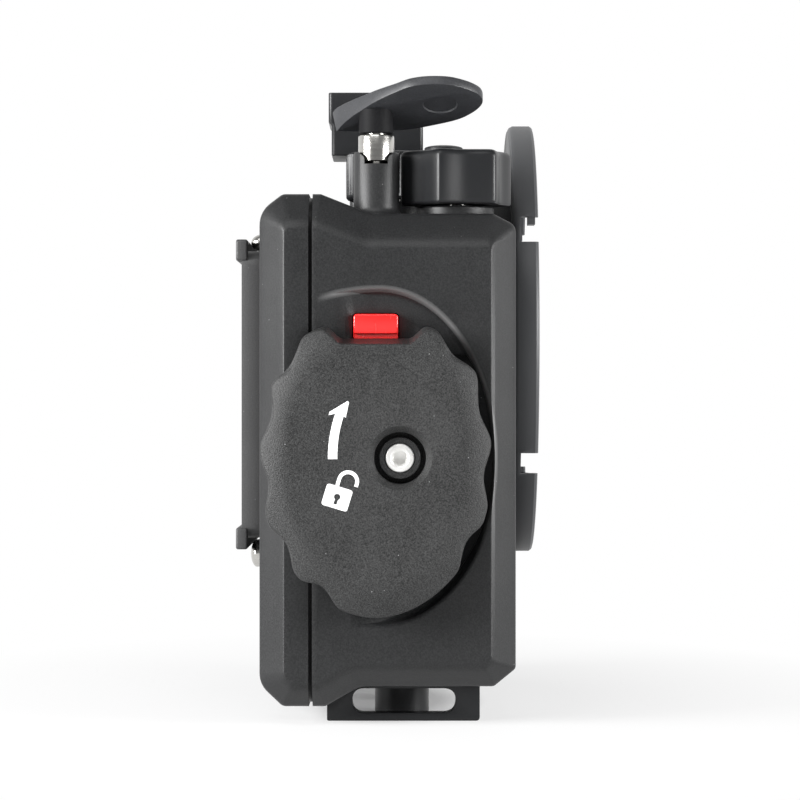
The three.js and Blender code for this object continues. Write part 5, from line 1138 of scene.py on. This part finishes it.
def tooth(form, index, z):
    # the same in small teeth that lean round the rim
    low, high = form["rings"][0][0], form["rings"][-1][0]
    turn = 2 * math.pi * index / form["samples"] + math.radians(form["twist"]) * (z - low) / (high - low)
    return turn, abs(2 * ((index * form["teeth"] / form["samples"]) % 1) - 1)


def turningGrip(form, dip, name, body, node):
    # dial and wheel are the names of the places too
    place = controlPlaces[body]
    rings = []
    for z, inset in form["rings"]:
        ring = []
        for index in range(form["samples"]):
            turn, share = dip(form, index, z)
            radius = form["radius"] - inset - form["depth"] * share
            ring.append(Vector((place[0] + radius * math.cos(turn), place[1] + radius * math.sin(turn), z)))
        rings.append(ring)
    grip = combined(lofted(rings), [spun("z", place, form["dish"], 96), rod("z", place, *form["bore"], 32)])
    return finished(grip, name, body, [node], "anodised", None, 30)


spindleForm = {"low": 113, "collar": 7, "collarTop": 116, "radius": 3, "ease": 0.3, "notches": 6,
               "notch": (1.2, 112, 117), "tops": {"dial": 134.2, "wheel": 136.7}}


def controlShaft(name, body, node):
    form = spindleForm
    place, top = controlPlaces[body], form["tops"][body]
    collar, radius = form["collar"], form["radius"]
    profile = [(0, form["low"]), (collar, form["low"]), (collar, form["collarTop"]),
               (radius, form["collarTop"]), (radius, top), (0, top)]
    notches = []
    for index in range(form["notches"]):
        turn = 2 * math.pi * index / form["notches"]
        centre = (place[0] + collar * math.cos(turn), place[1] + collar * math.sin(turn), 0)
        notches.append(rod("z", centre, *form["notch"], 20))
    shaft = combined(spun("z", place, eased(profile, form["ease"]), 64), notches)
    return finished(shaft, name, body, [node], "steel")


buttonForm = {"ease": 0.2, "grooveDeep": 0.4, "grooveTall": 1.2, "crownSteps": 10}


def buttonProfile(radius, base, top, crown, stem, stemEnd, groove):
    # a crowned head on a stem, whose groove holds the clip
    ease, steps = buttonForm["ease"], buttonForm["crownSteps"]
    neck, low = stem - buttonForm["grooveDeep"], groove - buttonForm["grooveTall"]
    points = [(0, stemEnd), (stem - ease, stemEnd), (stem, stemEnd + ease), (stem, low), (neck, low),
              (neck, groove), (stem, groove), (stem, base), (radius - ease, base), (radius, base + ease),
              (radius, top - crown)]
    for step in range(1, steps + 1):
        angle = math.radians(90) * step / steps
        out = radius * math.cos(angle) if step < steps else 0
        points.append((out, top - crown + crown * math.sin(angle)))
    return points


topKeyForm = {"radius": 5.0, "base": 136.8, "top": 146.6, "crown": 0.9, "stem": 2.0, "stemEnd": 114.0,
              "groove": 120.8}


def topButton():
    button = spun("z", controlPlaces["button"], buttonProfile(**topKeyForm), 64)
    return finished(button, "topKey", "top_key", ["top_button"], "anodised", None, 35)


def rearKeys():
    for node, (x, z, kind) in keyPlaces.items():
        look = keyForm[kind]
        profile = buttonProfile(look["radius"], keyForm["base"], keyForm["face"] + look["proud"], look["crown"],
                                **keyForm["stem"])
        material, slot = ("leverBlack", "dark_plastic") if kind == "black" else ("steel", "steel")
        name = "key" + node.title().replace("_", "")
        finished(spun("y", (x, 0, z), profile, 48), name, node + "_body", [node], material, None, 35)


turningGrip(dialForm, lobe, "modeDialGrip", "dial", "mode_dial")
turningGrip(wheelForm, tooth, "controlWheelRim", "wheel", "control_wheel")
controlShaft("modeDialSpindle", "dial", "mode_dial_shaft")
controlShaft("controlWheelSpindle", "wheel", "control_wheel_shaft")
topButton()
rearKeys()
print("controls done")

# front ring, retainer, glass and seals
portForm = {
    "ring": [(42.6, -30.4), (42.9, -30.7), (52.5, -30.7), (52.8, -31.0), (52.8, -34.6), (53.3, -35.1),
             (55.6, -35.1), (56.35, -34.9), (56.8, -34.3), (56.8, -29.9), (56.3, -29.0), (55.3, -28.5),
             (42.6, -28.5)],
    "gaps": [((-60, -37, 120.0), (60, -30.7, 126.5)), ((-60, -37, 61.3), (60, -30.7, 66.5))],
    "hooks": [((-47.4, -34.3, 124.6), (-40.3, -32.5, 127.3)), ((40.3, -34.3, 124.6), (47.4, -32.5, 127.3))],
    "lugs": (90, 0, 180, 270), "lugRadii": (54.8, 50.2), "lugHalf": 9, "lugSteps": 8, "lugY": (-35.1, -33.3),
    "edge": (0.3, 3, 40), "flatFrom": 0.99,
    "retainer": [(39.1, -30.65), (42.0, -30.65), (42.3, -30.35), (42.3, -28.65), (38.1, -28.65),
                 (38.1, -29.65)],
    "keyways": [((-1.5, -32, 136.15), (1.5, -29.65, 139.15)), ((-1.5, -32, 53.65), (1.5, -29.65, 56.65))],
    "retainerEdge": (0.2, 2, 40),
    "glass": [(0, -28.5), (41.1, -28.5), (41.5, -28.1), (41.5, -25.9), (41.1, -25.5), (0, -25.5)],
    "seal": {"radius": 40, "y": -24.6, "halfRadius": 0.53, "halfY": 0.5, "steps": 12},
}


def portRing():
    form = portForm
    ring = combined(spun("y", portCentre, form["ring"], 192), [block(*gap) for gap in form["gaps"]])
    extras = [block(*hook) for hook in form["hooks"]]
    half, steps = form["lugHalf"], form["lugSteps"]
    for angle in form["lugs"]:
        lug = []
        for radius, side in zip(form["lugRadii"], (1, -1)):
            for step in range(steps + 1):
                turn = math.radians(angle - side * half + side * half * 2 * step / steps)
                lug.append((radius * math.cos(turn), portCentre[2] + radius * math.sin(turn)))
        extras.append(prism("y", lug, *form["lugY"]))
    ring = combined(ring, extras, "UNION")
    piece = finished(ring, "frontRing", "housing", ["port_ring"], "ringAnodised", form["edge"])
    # the turned faces are flat, so their shading doesn't follow the rounded edges
    for face in piece.data.polygons:
        face.use_smooth = abs(face.normal.y) < form["flatFrom"]
    return piece


def portRetainer():
    form = portForm
    ring = spun("y", portCentre, form["retainer"], 160)
    ring = combined(ring, [block(*keyway) for keyway in form["keyways"]])
    return finished(ring, "glassRetainer", "housing", ["port_retainer"], "ringAnodised",
                    form["retainerEdge"])


def portGlass():
    glass = spun("y", portCentre, portForm["glass"], 160)
    return finished(glass, "frontPane", "housing", ["port_glass"], "frontGlass")


def portSeal():
    form = portForm["seal"]
    section = []
    for index in range(form["steps"]):
        angle = 2 * math.pi * index / form["steps"]
        section.append((form["radius"] + form["halfRadius"] * math.cos(angle),
                        form["y"] + form["halfY"] * math.sin(angle)))
    seal = spun("y", portCentre, section, 128)
    return finished(seal, "frontSeal", "housing", ["port_seal"], "sealRubber", None, 60)


sealForm = {"outer": (0.3, 7, 18.8, 21.0), "inner": (2.2, 6, 18, 22), "edge": (0.7, 4, 50)}


def mainSeal():
    seal = combined(mouthPrism(*sealForm["outer"]), [mouthPrism(*sealForm["inner"])])
    return finished(seal, "coverSeal", "cover", ["main_seal"], "sealRubber", sealForm["edge"], 60)


portRing()
portRetainer()
portGlass()
portSeal()
mainSeal()
print("front ring and seals done")

# accessory shoe
shoeForm = {
    "half": 12.4, "front": -6.1, "rear": 18.9, "corner": 1.2,
    "levels": [(144.7, 0.8), (152.6, 0.8), (153.4, 0), (161.3, 0)],  # height, step back of the rear face
    "slots": [((-9.3, -3.5, 157.0), (9.3, 20, 159.2)), ((-6.3, -3.5, 157.0), (6.3, 20, 163))],
    "screwY": (0.5, 9.5), "screwZ": 154.1, "screwHead": (2.6, 152.6, 158), "screwBore": (1.35, 143, 158),
    "edge": (0.35, 3, 40),
}


def accessoryShoe():
    form = shoeForm
    rings = []
    for z, step in form["levels"]:
        outline = rectangle(-form["half"], form["half"], form["front"], form["rear"] - step, form["corner"])
        rings.append([Vector((p.x, p.y, z)) for p in outline])
    cuts = [block(*slot) for slot in form["slots"]]
    for y in form["screwY"]:
        cuts += [rod("z", (0, y, 0), *form["screwHead"], 32), rod("z", (0, y, 0), *form["screwBore"], 24)]
    return finished(combined(lofted(rings), cuts), "shoeBlock", "housing", ["cold_shoe"], "anodised",
                    form["edge"])


accessoryShoe()

# foot with its bosses, and the small screws of foot, shoe and frame
footForm = {
    "half": 62.0,
    "outline": [(-19.9, 0, 1.0), (18.2, 0, 0.5), (18.2, 4.2, 0), (17.9, 4.3, 0), (12.2, 7.5, 0), (7.6, 9.3, 0),
                (5.5, 9.5, 0), (-19.9, 9.5, 0)],
    "under": ((-55.7, -21, -1), (55.7, 19.5, 7.6)), "slot": (-13.9, 11.9, 1.9, 8.1, 3.1, 12),
    "slotX": (-64, 64), "bosses": (-39, 0, 39), "bossY": -0.5,
    "boss": [(0, 0), (6.5, 0), (6.9, 0.4), (6.9, 8.5), (0, 8.5)],
    "socket": (4.4, -1, 7.4), "screws": [(-20, -13), (20, -13), (-20, 4), (20, 4)], "screwZ": 6.1,
    "screwBore": (1.35, -1, 10), "edge": (0.35, 3, 40),
}
insertForm = {"outer": [(3.4, 0.4), (4.05, 0.4), (4.2, 0.55), (4.2, 7.0), (4.05, 7.2), (3.2, 7.2)],
              "bore": 3.2, "groove": 3.55, "top": 7.0, "pitch": 0.7, "grooves": 9}


def tripodFoot():
    form = footForm
    whole = prism("x", rounded(form["outline"], 5), -form["half"], form["half"])
    slot = prism("x", rectangle(*form["slot"]), *form["slotX"])
    foot = combined(whole, [block(*form["under"]), slot])
    bosses = [spun("z", (x, form["bossY"], 0), form["boss"], 64) for x in form["bosses"]]
    foot = combined(foot, bosses, "UNION")
    cuts = [rod("z", (x, form["bossY"], 0), *form["socket"], 48) for x in form["bosses"]]
    cuts += [rod("z", (x, y, 0), *form["screwBore"], 24) for x, y in form["screws"]]
    return finished(combined(foot, cuts), "footPlate", "housing", ["tripod_foot"], "anodised",
                    form["edge"])


def footInserts():
    form = insertForm
    profile = list(form["outer"])
    for step in range(form["grooves"]):
        z = form["top"] - step * form["pitch"]
        profile += [(form["bore"], z), (form["groove"], z - form["pitch"] / 2)]
    profile.append((form["bore"], form["pitch"]))
    for index, x in enumerate(footForm["bosses"], 1):
        insert = spun("z", (x, footForm["bossY"], 0), profile, 64)
        finished(insert, "footSocket" + str(index), "housing", ["foot_insert_" + str(index)], "brass")


def smallScrews():
    inFoot = [(x, y, footForm["screwZ"]) for x, y in footForm["screws"]]
    inShoe = [(0, y, shoeForm["screwZ"]) for y in shoeForm["screwY"]]
    inFrame = [(x, frameForm["screwY"], z) for z in frameForm["screwZ"] for x in frameForm["screwX"]]
    for kind, body, places, turn in (("foot", "housing", inFoot, (180, "X")), ("shoe", "housing", inShoe, None),
                                     ("frame", "cover", inFrame, (-90, "X"))):
        for index, place in enumerate(places, 1):
            number = str(index)
            placedScrew("small", kind + "ScrewCap" + number, body, kind + "_screw_" + number, place, turn)


tripodFoot()
footInserts()
smallScrews()
print("foot, shoe and screws done")


# hinge pins, and finishes for the solids that stay as they are
def hingePins():
    form = hingeForm
    shorter, lower = form["pinEase"]
    for index, centre in enumerate(form["centres"], 1):
        half = form["knuckle"] / 2 + form["gap"] + form["knuckle"]
        low, top = centre - half, centre + half
        profile = [(0, low), (form["pin"] - shorter, low), (form["pin"], low + lower)]
        profile += [(radius, top + above) for radius, above in form["pinHead"]]
        pin = spun("z", (form["x"], form["y"], 0), profile, 48)
        finished(pin, "hingePin" + str(index), "housing", ["hinge_pin_" + str(index)], "steel")


hingePins()
keptLooks = {"camera_cradle": "frameBlack"}  # the others are clips and the spring, of steel
keptNodes = [node for node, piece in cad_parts.items() if not piece.hide_render]
for node in keptNodes:
    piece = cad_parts[node]
    piece.data.materials.clear()
    piece.data.materials.append(materials[keptLooks.get(node, "steel")])
print("kept nodes:", keptNodes)

# floor, light and camera
stageForm = {
    "size": 6.0, "cloud": (3.0, 2.0), "dark": (0.82, 0.82, 0.825), "light": (0.85, 0.85, 0.852),
    "rough": 0.6, "gloss": 0.2, "squeeze": (0.6, 1, 1), "nearest": 0.05, "farthest": 0.155, "share": 0.7,
    "bounce": 0.55, "underSqueeze": (0.35, 1, 1), "under": (0.013, 0.026), "dim": 0.25,
}


def paleFloor():
    # lit near the foot, plain white farther off; the strip right under the foot is darker; to other rays the
    # floor glows white away from the foot, a painted bounce light on the object from below
    form = stageForm
    made = bmesh.new()
    bmesh.ops.create_grid(made, x_segments=1, y_segments=1, size=form["size"] / 2)
    floor = heldObject(made, "floor")
    finish = Finish("paleFloor")
    tone = finish.mixed(finish.noise(*form["cloud"]), form["dark"], form["light"])
    lit = finish.node("ShaderNodeBsdfPrincipled", None, {"Base Color": tone, "Roughness": form["rough"],
                                                         "Specular IOR Level": form["gloss"]})
    white = finish.node("ShaderNodeEmission", None, {"Color": (1, 1, 1, 1), "Strength": 1.0})
    seen = finish.ray("Camera") + finish.ray("Glossy")
    fade = finish.ramp(finish.length(finish.stretched(form["squeeze"])), form["nearest"], form["farthest"])
    clear = finish.ramp(finish.length(finish.stretched(form["underSqueeze"])), *form["under"])
    visible = (form["share"] + (1 - form["share"]) * fade) * (form["dim"] + (1 - form["dim"]) * clear)
    # the second term is the painted bounce light: a glow that the object's diffuse rays see
    whiteness = visible * seen + fade * (1 - seen) * form["bounce"]
    shader = finish.node("ShaderNodeMixShader", None, {0: whiteness, 1: lit, 2: white})
    floor.data.materials.append(finish.surface(shader))


lightForm = {
    "leftSoft": {"place": (-0.42, 0.75, 0.26), "target": (0, 0, 0.06), "size": (0.5, 0.4), "power": 18.0},
    "rightSoft": {"place": (-0.4, -0.8, 0.2), "target": (0, 0, 0.06), "size": (0.5, 0.36), "power": 11.0},
    "topSoft": {"place": (-0.5, 0.1, 0.62), "target": (0, 0, 0.1), "size": (0.5, 0.3), "power": 1.5},
}


def softLights():
    for name, form in lightForm.items():
        light = bpy.data.lights.new(name, "AREA")
        light.shape = "RECTANGLE"
        light.size, light.size_y = form["size"]
        light.energy = form["power"]
        held = bpy.data.objects.new(name, light)
        held.location = form["place"]
        toward = Vector(form["target"]) - Vector(form["place"])
        held.rotation_euler = toward.to_track_quat("-Z", "Y").to_euler()
        bpy.context.scene.collection.objects.link(held)


# white all round for the camera; in reflections the side behind the camera and the ceiling are dimmer
studioForm = {"whiteSide": (0.9, 0.0, -0.43), "fill": 0.3,
              "fade": {"From Min": -0.45, "From Max": 0.3, "To Min": 0.25, "To Max": 1.0}}


def studioWorld():
    world = bpy.data.worlds.new("studio")
    bpy.context.scene.world = world
    world.use_nodes = True
    studio = Nodes(world.node_tree)
    seen = studio.ray("Camera") + studio.ray("Transmission")
    direction = studio.node("ShaderNodeTexCoord", output="Generated")
    toward = studio.node("ShaderNodeVectorMath", {"operation": "DOT_PRODUCT"},
                         {0: direction, 1: studioForm["whiteSide"]}, "Value")
    around = studio.node("ShaderNodeMapRange", None, {"Value": toward, **studioForm["fade"]})
    fill = studioForm["fill"] + (1 - studioForm["fill"]) * studio.ray("Glossy")
    strength = (seen > 0.5) + (seen < 0.5) * around * fill
    background = studio.node("ShaderNodeBackground", None, {"Color": (1, 1, 1, 1), "Strength": strength})
    studio.node("ShaderNodeOutputWorld", None, {"Surface": background})


cameraForm = {"lens": 148.5, "sensor": 36.0, "place": (-0.883, -0.002925, 0.08), "turn": (90, 0, -90)}


def photoCamera():
    camera = bpy.data.cameras.new("photoCamera")
    camera.lens = cameraForm["lens"]
    camera.sensor_width = cameraForm["sensor"]
    held = bpy.data.objects.new("photoCamera", camera)
    held.location = cameraForm["place"]
    held.rotation_euler = [math.radians(turn) for turn in cameraForm["turn"]]
    bpy.context.scene.collection.objects.link(held)
    bpy.context.scene.camera = held


paleFloor()
softLights()
studioWorld()
photoCamera()
bpy.context.scene.view_settings.view_transform = "Standard"
print("stage done")
